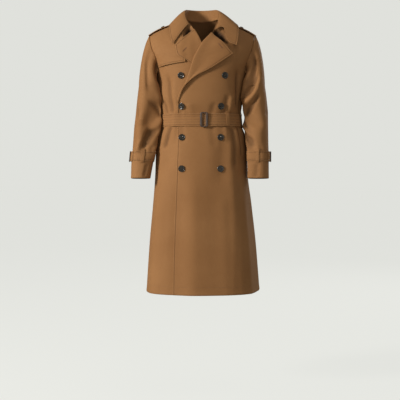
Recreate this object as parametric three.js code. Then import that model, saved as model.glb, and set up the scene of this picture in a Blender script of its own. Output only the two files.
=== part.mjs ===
// Trench coat, worn and belted: double-breasted, left front over right.
// Millimetres, +Z up, the front faces -Y and the wearer's left is +X. The origin is midway
// between the shoulders, at the height where the neck meets them.
import * as THREE from 'three';

// ---------------------------------------------------------------- driving dimensions
const WALL = 2;                  // cloth with its turned edges
const SEAM = 0.3;                // between two sewn pieces
const HEM_Z = -1122;
const UNDERARM_Z = -235;
const NECK = { x: 66, z: -6 };   // where the shoulder seam meets the neck
const TIP = { x: 217, z: -74 };  // where the shoulder seam meets the sleeve
const SHOULDER_ROUND = 150;      // height over which the chest rounds to the shoulder line
const SHOULDER_CROWN = 6;        // rise of the shoulder seam towards the sleeve
const SQUARE = 2.35;             // body sections: 2 is an ellipse, more is squarer
const BELT = { z: -424, height: 54, wall: 2.6, gap: 0.7 };
const BREAK_Z = -352;            // where the lapels start to roll
const HIDDEN_EDGE_X = 110;       // edge of the right front, under the left one
const BUTTON = { radius: 13.5, height: 4, rim: 2.6, dish: 1.1 };
const STRAP = { wall: 2.2, gap: 0.7 };

// Torso sections, to the inside of the cloth: reach to the wearer's right, left, front, back.
const TORSO = [
  { z: -1122, right: 229, left: 231, front: 178, back: 172 },
  { z: -915, right: 215, left: 214, front: 163, back: 160 },
  { z: -749, right: 200, left: 195, front: 151, back: 150 },
  { z: -640, right: 193, left: 184, front: 144, back: 144 },
  { z: -542, right: 190, left: 182, front: 139, back: 137 },
  { z: -480, right: 181, left: 173, front: 130, back: 124 },
  { z: -424, right: 167, left: 154, front: 121, back: 110 },
  { z: -380, right: 172, left: 158, front: 124, back: 112 },
  { z: -335, right: 181, left: 165, front: 129, back: 117 },
  { z: -270, right: 184, left: 172, front: 132, back: 122 },
  { z: -211, right: 190, left: 181, front: 130, back: 125 },
  { z: -150, right: 219, left: 213, front: 121, back: 122 },
  { z: -100, right: 237, left: 234, front: 108, back: 115 },
  { z: -50, right: 241, left: 240, front: 90, back: 106 },
  { z: 30, right: 241, left: 240, front: 64, back: 92 },
];
// Armhole seam, up from the underarm: distance from the middle on each side.
const ARMHOLE = [
  { z: -236, right: 186, left: 176 },
  { z: -222, right: 179, left: 170 },
  { z: -190, right: 184, left: 178 },
  { z: -158, right: 194, left: 191 },
  { z: -125, right: 207, left: 202 },
  { z: -95, right: 214, left: 209 },
  { z: -74, right: 217, left: 217 },
];
// Roll lines, where each lapel folds back over its front.
const ROLL_LEFT = [
  { z: -352, x: -98 }, { z: -330, x: -94 }, { z: -305, x: -84 }, { z: -274, x: -64 },
  { z: -236, x: -50 }, { z: -182, x: -33 }, { z: -117, x: 2 }, { z: -71, x: 38 },
  { z: -6, x: 66 },
];
const ROLL_RIGHT = [
  { z: -352, x: 98 }, { z: -274, x: 66 }, { z: -190, x: 30 }, { z: -120, x: -2 },
  { z: -40, x: -44 }, { z: -6, x: -66 },
];
// Outer edge of each lapel, from its tip down to the break.
const LAPEL_EDGE_LEFT = [
  { s: 0, x: 118, z: -160 }, { s: 0.42, x: 24, z: -224 }, { s: 0.62, x: -20, z: -247 },
  { s: 0.75, x: -56, z: -276 }, { s: 0.88, x: -78, z: -308 }, { s: 1, x: -94, z: -355 },
];
const LAPEL_EDGE_RIGHT = [
  { s: 0, x: -107, z: -126 }, { s: 0.2, x: -101, z: -160 }, { s: 0.42, x: -60, z: -188 },
  { s: 0.7, x: 10, z: -236 }, { s: 1, x: 94, z: -355 },
];
// Folds in the body: angle round it (0 is the front, + towards the wearer's left) at the fold's
// top and bottom end, half width in degrees, and height (+ ridge, - trough).
const BODY_FOLDS = [
  { from: -225, to: -400, angleTop: -47, angleEnd: -41, half: 9, height: -7 },
  { from: -450, to: -640, angleTop: -41, angleEnd: -46, half: 9, height: -6 },
  { from: -190, to: -392, angleTop: 50, angleEnd: 62, half: 12, height: -9 },
  { from: -300, to: -398, angleTop: 40, angleEnd: 41, half: 8, height: 4 },
  { from: -450, to: -800, angleTop: 40, angleEnd: 33, half: 9, height: 6 },
  { from: -450, to: -700, angleTop: 26, angleEnd: 20, half: 9, height: -4 },
  { from: -450, to: -620, angleTop: 68, angleEnd: 60, half: 10, height: -5 },
  { from: -620, to: -1180, angleTop: -62, angleEnd: -58, half: 15, height: 8 },
  { from: -560, to: -1180, angleTop: -40, angleEnd: -37, half: 12, height: -7 },
  { from: -600, to: -1180, angleTop: -20, angleEnd: -19, half: 12, height: 5 },
  { from: -640, to: -1180, angleTop: 20, angleEnd: 24, half: 14, height: -5 },
  { from: -640, to: -1180, angleTop: 52, angleEnd: 50, half: 14, height: 6 },
  { from: -640, to: -1180, angleTop: 76, angleEnd: 76, half: 13, height: -7 },
  { from: -600, to: -1180, angleTop: 104, angleEnd: 104, half: 15, height: 8 },
  { from: -460, to: -1180, angleTop: 135, angleEnd: 132, half: 14, height: -8 },
  { from: -560, to: -1180, angleTop: 160, angleEnd: 162, half: 14, height: 7 },
  { from: -460, to: -1180, angleTop: -168, angleEnd: -170, half: 13, height: -7 },
  { from: -560, to: -1180, angleTop: -145, angleEnd: -143, half: 14, height: 8 },
  { from: -460, to: -1180, angleTop: -118, angleEnd: -114, half: 14, height: -8 },
  { from: -240, to: -400, angleTop: 128, angleEnd: 138, half: 12, height: -7 },
  { from: -240, to: -400, angleTop: -128, angleEnd: -140, half: 12, height: -7 },
];
// Sleeve sections: reach of the outer and inner side from the middle, and the y of the
// section's middle and its half depth. The inner side leans in before the body, and the
// sections tilt with the forearm.
const SLEEVE_RIGHT = [
  { z: -280, outer: 262, inner: 189, middle: -14, deep: 82, lean: 20, tilt: 0 },
  { z: -345, outer: 270, inner: 187, middle: -12, deep: 78, lean: 25, tilt: 0 },
  { z: -398, outer: 275, inner: 183, middle: -14, deep: 73, lean: 29, tilt: 0.02 },
  { z: -454, outer: 281, inner: 186, middle: -22, deep: 70, lean: 25, tilt: 0.04 },
  { z: -507, outer: 284, inner: 191, middle: -32, deep: 64, lean: 13, tilt: 0.05 },
  { z: -552, outer: 287, inner: 194, middle: -40, deep: 60, lean: 3, tilt: 0.05 },
  { z: -603, outer: 291, inner: 203, middle: -47, deep: 56, lean: 1, tilt: 0.05 },
  { z: -659, outer: 292, inner: 213, middle: -54, deep: 54, lean: 0, tilt: 0.05 },
];
const SLEEVE_LEFT = [
  { z: -280, outer: 257, inner: 176, middle: -14, deep: 82, lean: 20, tilt: 0 },
  { z: -345, outer: 266, inner: 170, middle: -12, deep: 78, lean: 23, tilt: 0 },
  { z: -398, outer: 270, inner: 171, middle: -14, deep: 73, lean: 17, tilt: 0.02 },
  { z: -454, outer: 270, inner: 176, middle: -22, deep: 70, lean: 18, tilt: 0.04 },
  { z: -507, outer: 270, inner: 185, middle: -32, deep: 64, lean: 14, tilt: 0.05 },
  { z: -552, outer: 270, inner: 189, middle: -48, deep: 60, lean: 4, tilt: 0.05 },
  { z: -603, outer: 270, inner: 188, middle: -57, deep: 56, lean: 3, tilt: 0.05 },
  { z: -659, outer: 270, inner: 186, middle: -63, deep: 54, lean: 4, tilt: 0.05 },
];
// Sleeve folds: angle round the sleeve (0 outer, 90 front, 180 inner), as for the body.
const SLEEVE_FOLDS = [
  { from: -110, to: -330, angleTop: 70, angleEnd: 104, half: 22, height: -6 },
  { from: -150, to: -390, angleTop: 120, angleEnd: 128, half: 18, height: 5 },
  { from: -330, to: -470, angleTop: 150, angleEnd: 80, half: 26, height: -9 },
  { from: -420, to: -540, angleTop: 60, angleEnd: 120, half: 26, height: 5 },
  { from: -330, to: -480, angleTop: 250, angleEnd: 300, half: 26, height: -6 },
  { from: -150, to: -360, angleTop: 270, angleEnd: 240, half: 22, height: -6 },
];
// The collar, from its right front end round the back of the neck to its left one: the roll at
// its top, and the outer edge of the part that falls.
const COLLAR = [
  { s: 0, rollX: -56, rollY: -64, rollZ: -30, edgeX: -121, edgeY: -110, edgeZ: -118 },
  { s: 0.1, rollX: -70, rollY: -44, rollZ: 2, edgeX: -131, edgeY: -82, edgeZ: -76 },
  { s: 0.2, rollX: -73, rollY: -18, rollZ: 28, edgeX: -138, edgeY: -40, edgeZ: -33 },
  { s: 0.3, rollX: -66, rollY: 12, rollZ: 40, edgeX: -132, edgeY: 16, edgeZ: -21 },
  { s: 0.4, rollX: -46, rollY: 44, rollZ: 43, edgeX: -98, edgeY: 78, edgeZ: -36 },
  { s: 0.5, rollX: -6, rollY: 62, rollZ: 44, edgeX: -2, edgeY: 112, edgeZ: -46 },
  { s: 0.6, rollX: 34, rollY: 46, rollZ: 43, edgeX: 98, edgeY: 80, edgeZ: -36 },
  { s: 0.7, rollX: 56, rollY: 14, rollZ: 40, edgeX: 138, edgeY: 16, edgeZ: -21 },
  { s: 0.8, rollX: 68, rollY: -18, rollZ: 24, edgeX: 148, edgeY: -40, edgeZ: -37 },
  { s: 0.9, rollX: 66, rollY: -46, rollZ: -14, edgeX: 146, edgeY: -82, edgeZ: -78 },
  { s: 1, rollX: 43, rollY: -90, rollZ: -71, edgeX: 137, edgeY: -120, edgeZ: -129 },
];
// Rows of front buttons: height, distance from the middle on each side, and the length of
// thread that holds them clear of the cloth.
const BUTTON_ROWS = [
  { z: -246, right: 86, left: 86, thread: 0.8 },
  { z: -368, right: 82, left: 71, thread: 0.8 },
  { z: -495, right: 82, left: 71, thread: 0.8 },
  { z: -620, right: 82, left: 71, thread: 1.1 },
];

// ---------------------------------------------------------------- numbers between rows
const clamp = (v, lo = 0, hi = 1) => Math.min(hi, Math.max(lo, v));
const mix = (a, b, t) => a + (b - a) * t;
const ease = (from, to, v) => {
  const t = clamp((v - from) / (to - from));
  return t * t * (3 - 2 * t);
};

// A column of a table at a key value, on a smooth curve that never overshoots its rows.
function column(table, name, value, key = 'z') {
  const rising = table[0][key] < table[table.length - 1][key];
  const rows = rising ? table : [...table].reverse();
  const last = rows.length - 1;
  if (value <= rows[0][key]) return rows[0][name];
  if (value >= rows[last][key]) return rows[last][name];
  let i = 0;
  while (value > rows[i + 1][key]) i += 1;
  const step = (k) => rows[k + 1][key] - rows[k][key];
  const slope = (k) => (rows[k + 1][name] - rows[k][name]) / step(k);
  const tangent = (k) => {
    if (k === 0) return slope(0);
    if (k === last) return slope(last - 1);
    const [a, b] = [slope(k - 1), slope(k)];
    return a * b <= 0 ? 0 : (2 * a * b) / (a + b);
  };
  const t = (value - rows[i][key]) / step(i);
  const [h, a, b] = [step(i), rows[i][name], rows[i + 1][name]];
  return a * (1 + 2 * t) * (1 - t) ** 2 + tangent(i) * h * t * (1 - t) ** 2
    + b * t * t * (3 - 2 * t) + tangent(i + 1) * h * t * t * (t - 1);
}

// Height of the folds in a table at an angle in degrees and a height z.
function foldHeight(folds, degrees, z) {
  let sum = 0;
  for (const fold of folds) {
    const along = clamp((fold.from - z) / (fold.from - fold.to));
    const middle = mix(fold.angleTop, fold.angleEnd, along);
    const away = Math.abs(((degrees - middle + 540) % 360) - 180) / fold.half;
    const ends = ease(0, 0.3, along) * (fold.to < HEM_Z ? 1 : 1 - ease(0.75, 1, along));
    if (away < 2) sum += fold.height * ends * (0.5 + 0.5 * Math.cos((Math.PI * away) / 2));
  }
  return sum;
}

// ---------------------------------------------------------------- the body's surface
const RAD = Math.PI / 180;
const power = (v, e) => Math.sign(v) * Math.abs(v) ** e;
const shoulderZ = (x) => {
  const out = Math.abs(x) - NECK.x;
  const share = out / (TIP.x - NECK.x);
  const crown = SHOULDER_CROWN * Math.sin(Math.PI * clamp(share) ** 2);
  return out > 0 ? mix(NECK.z, TIP.z, share) + crown : NECK.z + 20 * (1 - (x / NECK.x) ** 2);
};

// Half width and middle of the section at a height.
function span(z) {
  const right = column(TORSO, 'right', z);
  const left = column(TORSO, 'left', z);
  return { half: (left + right) / 2, middle: (left - right) / 2 };
}

// The angle at which the front (or back) of the body has a given x.
function angleOf(x, z, back = false) {
  const { half, middle } = span(z);
  const share = clamp(Math.abs(x - middle) / half) ** (SQUARE / 2);
  const front = Math.sign(x - middle) * Math.asin(share) / RAD;
  return back ? (front < 0 ? -180 : 180) - front : front;
}

// How far the shoulder's rounding lets the body reach forwards or back at (x, z).
function shoulderRound(x, z) {
  const below = clamp((shoulderZ(x) - z) / SHOULDER_ROUND);
  return Math.sqrt(1 - (1 - below) ** 2);
}

function smoothPoint(degrees, z) {
  const { half, middle } = span(z);
  const [sin, cos] = [Math.sin(degrees * RAD), Math.cos(degrees * RAD)];
  const x = middle + half * power(sin, 2 / SQUARE);
  const reach = column(TORSO, cos > 0 ? 'front' : 'back', z);
  return new THREE.Vector3(x, -reach * power(cos, 2 / SQUARE) * shoulderRound(x, z), z);
}

// Outward normal, from the surface's slope, or near the shoulder line from its rounding.
function smoothNormal(degrees, z) {
  const point = smoothPoint(degrees, z);
  const below = shoulderZ(point.x) - z;
  if (below > 30) {
    const round = smoothPoint(degrees + 0.6, z).sub(smoothPoint(degrees - 0.6, z));
    const up = smoothPoint(degrees, z + 2).sub(smoothPoint(degrees, z - 2));
    return round.cross(up).normalize();
  }
  const inside = (x, y, h) => {
    const { half, middle } = span(h);
    const share = clamp(Math.abs(x - middle) / half, 0, 0.999) ** SQUARE;
    const reach = column(TORSO, Math.cos(degrees * RAD) > 0 ? 'front' : 'back', h);
    const deep = reach * (1 - share) ** (1 / SQUARE);
    return (y / deep) ** 2 + (1 - (shoulderZ(x) - h) / SHOULDER_ROUND) ** 2;
  };
  const { x, y } = point;
  return new THREE.Vector3(
    inside(x + 1, y, z) - inside(x - 1, y, z),
    inside(x, y + 1, z) - inside(x, y - 1, z),
    inside(x, y, z + 1) - inside(x, y, z - 1),
  ).normalize();
}

// A point of the body at an angle, a height and a distance out from the cloth's inside.
function bodyPoint(degrees, z, out) {
  const fold = foldHeight(BODY_FOLDS, degrees, z);
  return smoothPoint(degrees, z).addScaledVector(smoothNormal(degrees, z), fold + out);
}
const bodyAt = (x, z, out) => bodyPoint(angleOf(x, z), z, out);
// The body's normal with its folds, away from the shoulder line.
function bodyNormal(degrees, z) {
  const around = bodyPoint(degrees + 2, z, 0).sub(bodyPoint(degrees - 2, z, 0));
  return around.cross(bodyPoint(degrees, z + 8, 0).sub(bodyPoint(degrees, z - 8, 0))).normalize();
}

// ---------------------------------------------------------------- closed cloth walls
// A wall from a grid: at(u, v) gives its { inner, outer } points for u and v from 0 to 1.
function wall(columns, rows, at, { ring = false } = {}) {
  const across = ring ? columns : columns + 1;
  const positions = [];
  for (const face of ['outer', 'inner']) {
    for (let j = 0; j <= rows; j += 1) {
      for (let i = 0; i < across; i += 1) {
        const point = at(i / columns, j / rows)[face];
        positions.push(point.x, point.y, point.z);
      }
    }
  }
  const outer = (i, j) => j * across + (i % across);
  const inner = (i, j) => (rows + 1) * across + outer(i, j);
  const index = [];
  const quad = (a, b, c, d) => index.push(a, b, c, a, c, d);
  for (let j = 0; j < rows; j += 1) {
    for (let i = 0; i < columns; i += 1) {
      quad(outer(i, j), outer(i + 1, j), outer(i + 1, j + 1), outer(i, j + 1));
      quad(inner(i, j), inner(i, j + 1), inner(i + 1, j + 1), inner(i + 1, j));
    }
  }
  for (let i = 0; i < columns; i += 1) {
    quad(outer(i, 0), inner(i, 0), inner(i + 1, 0), outer(i + 1, 0));
    quad(outer(i, rows), outer(i + 1, rows), inner(i + 1, rows), inner(i, rows));
  }
  for (let j = 0; j < rows && !ring; j += 1) {
    quad(outer(0, j), outer(0, j + 1), inner(0, j + 1), inner(0, j));
    quad(outer(columns, j), inner(columns, j), inner(columns, j + 1), outer(columns, j + 1));
  }
  const geometry = new THREE.BufferGeometry();
  geometry.setAttribute('position', new THREE.Float32BufferAttribute(positions, 3));
  geometry.setIndex(facingOut(positions, index));
  geometry.computeVertexNormals();
  return geometry;
}

// The triangles, turned over if they enclose a negative volume.
function facingOut(positions, index) {
  const corner = (k) => new THREE.Vector3().fromArray(positions, 3 * index[k]);
  let volume = 0;
  for (let k = 0; k < index.length; k += 3) {
    volume += corner(k).dot(corner(k + 1).cross(corner(k + 2)));
  }
  if (volume > 0) return index;
  for (let k = 0; k < index.length; k += 3) {
    [index[k], index[k + 1]] = [index[k + 1], index[k]];
  }
  return index;
}

// A wall on the body: place(u, v) gives { degrees, z, out }, out being its inner face.
function bodyWall(columns, rows, place, thick = WALL) {
  return wall(columns, rows, (u, v) => {
    const { degrees, z, out } = place(u, v);
    return { inner: bodyPoint(degrees, z, out), outer: bodyPoint(degrees, z, out + thick) };
  });
}

// ---------------------------------------------------------------- the coat
const CLOTH = new THREE.MeshStandardMaterial({ color: 0x8a5c37, roughness: 0.85 });
const LEATHER = new THREE.MeshStandardMaterial({ color: 0x59402b, roughness: 0.5 });
const HORN = new THREE.MeshStandardMaterial({ color: 0x2e2f2b, roughness: 0.35 });
const coat = new THREE.Group();
function add(name, geometry, material) {
  const mesh = new THREE.Mesh(geometry, material);
  mesh.name = name;
  coat.add(mesh);
  return mesh;
}

// Seam clearance, in degrees round the body.
const SEAM_ANGLE = 0.06;
const armholeX = (side, z) => side * column(ARMHOLE, side < 0 ? 'right' : 'left', z);
const armholeZ = (t) => mix(UNDERARM_Z, TIP.z, (1 - Math.cos(Math.PI * t)) / 2);

// Heights of the rows below the underarm, closer together round the belt.
const LOWER_ROWS = [-1122, -1020, -920, -820, -720, -630, -560, -505, -451, -424, -397, -360,
  -318, -275, -235];
const UPPER_ROWS = 10;
const PANEL_ROWS = LOWER_ROWS.length - 1 + UPPER_ROWS;

// Where row v of a front lies: below the underarm a height, above it a share of the armhole.
function panelRow(v) {
  const row = Math.round(v * PANEL_ROWS);
  const low = LOWER_ROWS.length - 1;
  return row <= low ? { z: LOWER_ROWS[row], t: 0 } : { z: UNDERARM_Z, t: (row - low) / UPPER_ROWS };
}

// Where column u of a front lies, from its side seam or armhole to its edge or roll line.
function frontPlace(side, edgeX, u, lowZ, t) {
  if (t === 0) return { degrees: mix(side * (90 - SEAM_ANGLE), angleOf(edgeX(lowZ), lowZ), u), z: lowZ };
  const armZ = armholeZ(t);
  const edgeZ = mix(UNDERARM_Z, NECK.z, t);
  const armX = armholeX(side, armZ);
  const z = mix(armZ, edgeZ, u);
  const flat = angleOf(mix(armX, edgeX(edgeZ), u), z);
  const round = mix(angleOf(armX, armZ), angleOf(edgeX(edgeZ), edgeZ), u);
  return { degrees: mix(round, flat, t), z };
}
function frontPanel(side, columns, edgeX, out) {
  return bodyWall(columns, PANEL_ROWS, (u, v) => {
    const { z: lowZ, t } = panelRow(v);
    const { degrees, z } = frontPlace(side, edgeX, u, lowZ, t);
    return { degrees, z, out: out(degrees, z) };
  });
}

const rightEdge = (z) => (z > BREAK_Z ? column(ROLL_RIGHT, 'x', z) : HIDDEN_EDGE_X);
const leftEdge = (z) => (z > BREAK_Z ? column(ROLL_LEFT, 'x', z) : mix(-98, -118, ease(BREAK_Z, HEM_Z, z)));

// The left front lies over the right one, and over the right lapel above the break.
const UNDER = 0;
const overRight = (degrees, z) => {
  const { x } = smoothPoint(degrees, z);
  const lift = mix(WALL + 1.6, 2 * WALL + 3.4, ease(BREAK_Z - 45, BREAK_Z - 4, z));
  return lift * (1 - ease(HIDDEN_EDGE_X + 6, HIDDEN_EDGE_X + 36, x)) * ease(-70, -130, z);
};
add('front_right', frontPanel(-1, 20, rightEdge, () => UNDER), CLOTH);
add('front_left', frontPanel(1, 22, leftEdge, overRight), CLOTH);

// The back: one plain panel, from armhole to armhole and up to the neck and shoulders.
function backPanel() {
  return bodyWall(24, PANEL_ROWS, (u, v) => {
    const { z: lowZ, t } = panelRow(v);
    const angle = (x, z) => (angleOf(x, z, true) + 360) % 360;
    if (t === 0) return { degrees: mix(90 + SEAM_ANGLE, 270 - SEAM_ANGLE, u), z: lowZ, out: UNDER };
    const armZ = armholeZ(t);
    const [leftX, rightX] = [armholeX(1, armZ), armholeX(-1, armZ)];
    const x = mix(leftX, rightX, u);
    const out = Math.abs(x) - NECK.x;
    const neckZ = out > 0 ? shoulderZ(x) : NECK.z;
    const across = Math.abs(2 * u - 1);
    const middleZ = mix(UNDERARM_Z, neckZ, (armZ - UNDERARM_Z) / (TIP.z - UNDERARM_Z));
    const z = mix(middleZ, armZ, across ** 3);
    const round = mix(angle(leftX, armZ), angle(rightX, armZ), u);
    return { degrees: mix(round, angle(x, z), t), z: t === 1 ? neckZ : z, out: UNDER };
  });
}
add('back_body', backPanel(), CLOTH);


// ---------------------------------------------------------------- lapels, flap, collar
const LAYER_GAP = 0.85;
const ON_RIGHT = WALL + LAYER_GAP;                 // on the right front
const ON_FLAP = ON_RIGHT + WALL + LAYER_GAP;       // on the storm flap

const LAPEL_SWELL = 1.2;
function lapel(roll, edge, topZ, out) {
  return wall(8, 12, (u, v) => {
    const rootZ = mix(topZ, BREAK_Z - 2, v);
    const x = mix(column(roll, 'x', rootZ), column(edge, 'x', v, 's'), u);
    const z = mix(rootZ, column(edge, 'z', v, 's'), u);
    const lift = out(x, z) + LAPEL_SWELL * Math.sin(Math.PI * u);
    return { inner: bodyAt(x, z, lift), outer: bodyAt(x, z, lift + WALL) };
  });
}
add('lapel_right', lapel(ROLL_RIGHT, LAPEL_EDGE_RIGHT, -58,
  (x) => mix(ON_RIGHT, ON_FLAP, ease(-24, -56, x))), CLOTH);
add('lapel_left', lapel(ROLL_LEFT, LAPEL_EDGE_LEFT, -74,
  (x, z) => overRight(angleOf(x, z), z) + WALL + 2 * LAYER_GAP), CLOTH);

// The storm flap covers the right chest: the right front's own rows, moved out, from a slanting
// row near the underarm up to the shoulder, and in to a line under the lapel.
const FLAP = { armU: 0.03, footU: 0.68, topU: 0.8, footArm: 0.265, footIn: 0.235, secondRow: 3 };
const FLAP_ROWS = UPPER_ROWS - FLAP.secondRow + 1;
add('storm_flap', bodyWall(10, FLAP_ROWS, (u, v) => {
  const row = Math.round(v * FLAP_ROWS);
  const across = mix(FLAP.armU, mix(FLAP.footU, FLAP.topU, v), u);
  const t = row === 0 ? mix(FLAP.footArm, FLAP.footIn, u) : (row - 1 + FLAP.secondRow) / UPPER_ROWS;
  return { ...frontPlace(-1, rightEdge, across, UNDERARM_Z, t), out: ON_RIGHT };
}), CLOTH);

// The collar: its stand rises from the neck edge, and its fall turns over and down.
function collarPoint(s, kind) {
  return new THREE.Vector3(
    column(COLLAR, `${kind}X`, s, 's'),
    column(COLLAR, `${kind}Y`, s, 's'),
    column(COLLAR, `${kind}Z`, s, 's'),
  );
}
// The fall's surface: from the roll (v = 0) over a rounded shoulder to the outer edge (v = 1).
function fallPoint(s, v) {
  const [roll, edge] = [collarPoint(s, 'roll'), collarPoint(s, 'edge')];
  const swell = new THREE.Vector3(roll.x, roll.y, 0).normalize().setZ(1.1).normalize();
  return roll.lerp(edge, v).addScaledVector(swell, 4.5 * Math.sin(Math.PI * v ** 0.62));
}
function gridNormal(point, u, v, step = 0.004) {
  const along = point(u + step, v).sub(point(u - step, v));
  const down = point(u, Math.min(1, v + step)).sub(point(u, Math.max(0, v - step)));
  return down.cross(along).normalize();
}
// Its left front edge is cut hollow near the roll, and full towards the point.
const hill = (v, middle, half) => Math.exp(-(((v - middle) / half) ** 2));
const fallPlace = (u, v) => u
  - ease(0.84, 1, u) * (0.018 + 0.05 * hill(v, 0.24, 0.2) - 0.018 * hill(v, 0.72, 0.22));
add('collar_fall', wall(30, 6, (u, v) => {
  const s = fallPlace(u, v);
  const normal = gridNormal(fallPoint, clamp(s, 0.01, 0.99), clamp(v, 0.03, 1));
  const outer = fallPoint(s, v);
  return { outer, inner: outer.clone().addScaledVector(normal, -WALL) };
}), CLOTH);
const STAND = { from: 0.09, to: 0.87, footZ: -3.6, inset: 0.4 };
add('collar_stand', wall(22, 2, (u, v) => {
  const s = mix(STAND.from, STAND.to, u);
  const roll = collarPoint(s, 'roll');
  const towards = new THREE.Vector3(-roll.x, -roll.y, 0).normalize();
  const top = roll.clone().addScaledVector(towards, STAND.inset).setZ(roll.z - 0.8);
  const foot = new THREE.Vector3(roll.x * 0.97, roll.y * 0.86, Math.min(STAND.footZ, roll.z - 9));
  const outer = foot.lerp(top, v);
  return { outer, inner: outer.clone().addScaledVector(towards, WALL) };
}), CLOTH);

// ---------------------------------------------------------------- sleeves
const SLEEVE_TOP_Z = -280;       // below it the sleeve is a tube, above it the sleeve head
const SLEEVE_SQUARE = 2.25;

function sleeveSection(side, turn, z) {
  const table = side < 0 ? SLEEVE_RIGHT : SLEEVE_LEFT;
  const [outer, inner] = [column(table, 'outer', z), column(table, 'inner', z)];
  const x = (outer + inner) / 2
    + ((outer - inner) / 2) * power(Math.cos(turn * RAD), 2 / SLEEVE_SQUARE);
  const forward = column(table, 'deep', z) * power(Math.sin(turn * RAD), 2 / SLEEVE_SQUARE);
  const y = column(table, 'middle', z) - forward;
  const inFront = clamp(-Math.sin(2 * turn * RAD)) * (Math.sin(turn * RAD) > 0 ? 1 : 0);
  const lean = column(table, 'lean', z) * inFront ** 3;
  return new THREE.Vector3(side * (x - lean), y, z + column(table, 'tilt', z) * forward);
}

// A point of the armhole seam, on the outside of the body.
function armholePoint(side, turn) {
  const z = mix(UNDERARM_Z, TIP.z, (1 + Math.cos(turn * RAD)) / 2);
  const front = Math.sin(turn * RAD) >= 0;
  const degrees = angleOf(armholeX(side, z), z, !front);
  const [low, high] = [(1 - Math.cos(turn * RAD)) / 2, (1 + Math.cos(turn * RAD)) / 2];
  const apart = SEAM + 0.4 + 2.2 * low ** 4 + 1.8 * high ** 4;
  const point = bodyPoint(degrees, z, WALL);
  return point.setX(point.x + side * apart);
}

// The outside of a sleeve. Down is in millimetres below the sleeve head, or from -1 to 0 in it.
function sleevePlain(side, turn, down) {
  if (down >= 0) return sleeveSection(side, turn, SLEEVE_TOP_Z - down);
  const t = down + 1;
  const [start, end] = [armholePoint(side, turn), sleeveSection(side, turn, SLEEVE_TOP_Z)];
  const [cos, sin] = [Math.cos(turn * RAD), Math.sin(turn * RAD)];
  const leave = new THREE.Vector3(side * (0.62 - 0.1 * cos), -0.25 * sin, -0.7 - 0.05 * cos);
  const reach = start.distanceTo(end) * (0.82 - 0.16 * cos);
  return start.multiplyScalar((1 + 2 * t) * (1 - t) ** 2)
    .addScaledVector(leave.normalize(), reach * t * (1 - t) ** 2)
    .addScaledVector(end, t * t * (3 - 2 * t))
    .addScaledVector(new THREE.Vector3(0, 0, 1), reach * t * t * (1 - t));
}
function sleeveNormal(side, turn, down) {
  const small = down < 0 ? 0.01 : 2;
  const around = sleevePlain(side, turn + 1, down).sub(sleevePlain(side, turn - 1, down));
  const along = sleevePlain(side, turn, down + small)
    .sub(sleevePlain(side, turn, Math.max(-1, down - small)));
  return around.cross(along).multiplyScalar(side).normalize();
}
function sleevePoint(side, turn, down, out) {
  const point = sleevePlain(side, turn, down);
  const fold = foldHeight(SLEEVE_FOLDS, turn, point.z);
  return point.addScaledVector(sleeveNormal(side, turn, down), fold + out);
}

const SLEEVE_ROWS = [-1, -0.8, -0.6, -0.4, -0.2, 0, 32, 65, 92, 118, 146, 174, 200, 227, 250, 271,
  310, 345, 379];
function sleeve(side) {
  return wall(20, SLEEVE_ROWS.length - 1, (u, v) => {
    const down = SLEEVE_ROWS[Math.round(v * (SLEEVE_ROWS.length - 1))];
    const turn = 360 * u;
    return { outer: sleevePoint(side, turn, down, 0), inner: sleevePoint(side, turn, down, -WALL) };
  }, { ring: true });
}

// The strap goes once round the sleeve and laps over itself at the buckle.
const SLEEVE_STRAP = { from: 271, to: 310, start: -24, laps: 425, lapLift: STRAP.wall + 0.6 };
function sleeveStrap(side) {
  return wall(27, 1, (u, v) => {
    const gone = SLEEVE_STRAP.laps * u;
    const down = mix(SLEEVE_STRAP.from, SLEEVE_STRAP.to, v);
    const out = STRAP.gap + SLEEVE_STRAP.lapLift * ease(290, 350, gone);
    const turn = SLEEVE_STRAP.start + gone;
    return {
      inner: sleevePoint(side, turn, down, out),
      outer: sleevePoint(side, turn, down, out + STRAP.wall),
    };
  });
}

// A narrow loop over a strap: a band whose two ends come down to the cloth.
const LOOP = { wall: 1.6, rise: 4 };
function loopWall(place, from, to, foot, top) {
  const stops = [
    { at: from - LOOP.rise - 3, out: foot }, { at: from - LOOP.rise, out: foot },
    { at: from - 1.2, out: top }, { at: to + 1.2, out: top },
    { at: to + LOOP.rise, out: foot }, { at: to + LOOP.rise + 3, out: foot },
  ];
  return wall(2, stops.length - 1, (u, v) => {
    const stop = stops[Math.round(v * (stops.length - 1))];
    return { inner: place(u, stop.at, stop.out), outer: place(u, stop.at, stop.out + LOOP.wall) };
  });
}
function sleeveLoop(side, turn) {
  const spread = 7;
  const top = STRAP.gap + STRAP.wall + 0.6;
  return loopWall((u, down, out) => sleevePoint(side, turn + spread * (2 * u - 1), down, out),
    SLEEVE_STRAP.from, SLEEVE_STRAP.to, 0.5, top);
}

// A buckle: a rounded frame with an opening, standing on its back face. Its side bars are as
// wide as side, and its top and bottom bars as bar.
function buckleFrame({ width, height, side, bar, deep }) {
  const rounded = (path, w, h, r) => path
    .moveTo(-w + r, -h).lineTo(w - r, -h).quadraticCurveTo(w, -h, w, -h + r)
    .lineTo(w, h - r).quadraticCurveTo(w, h, w - r, h)
    .lineTo(-w + r, h).quadraticCurveTo(-w, h, -w, h - r)
    .lineTo(-w, -h + r).quadraticCurveTo(-w, -h, -w + r, -h);
  const shape = rounded(new THREE.Shape(), width / 2, height / 2, 5);
  shape.holes.push(rounded(new THREE.Path(), width / 2 - side, height / 2 - bar, 2.5));
  return new THREE.ExtrudeGeometry(shape, { depth: deep, bevelEnabled: false, curveSegments: 3 });
}

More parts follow.
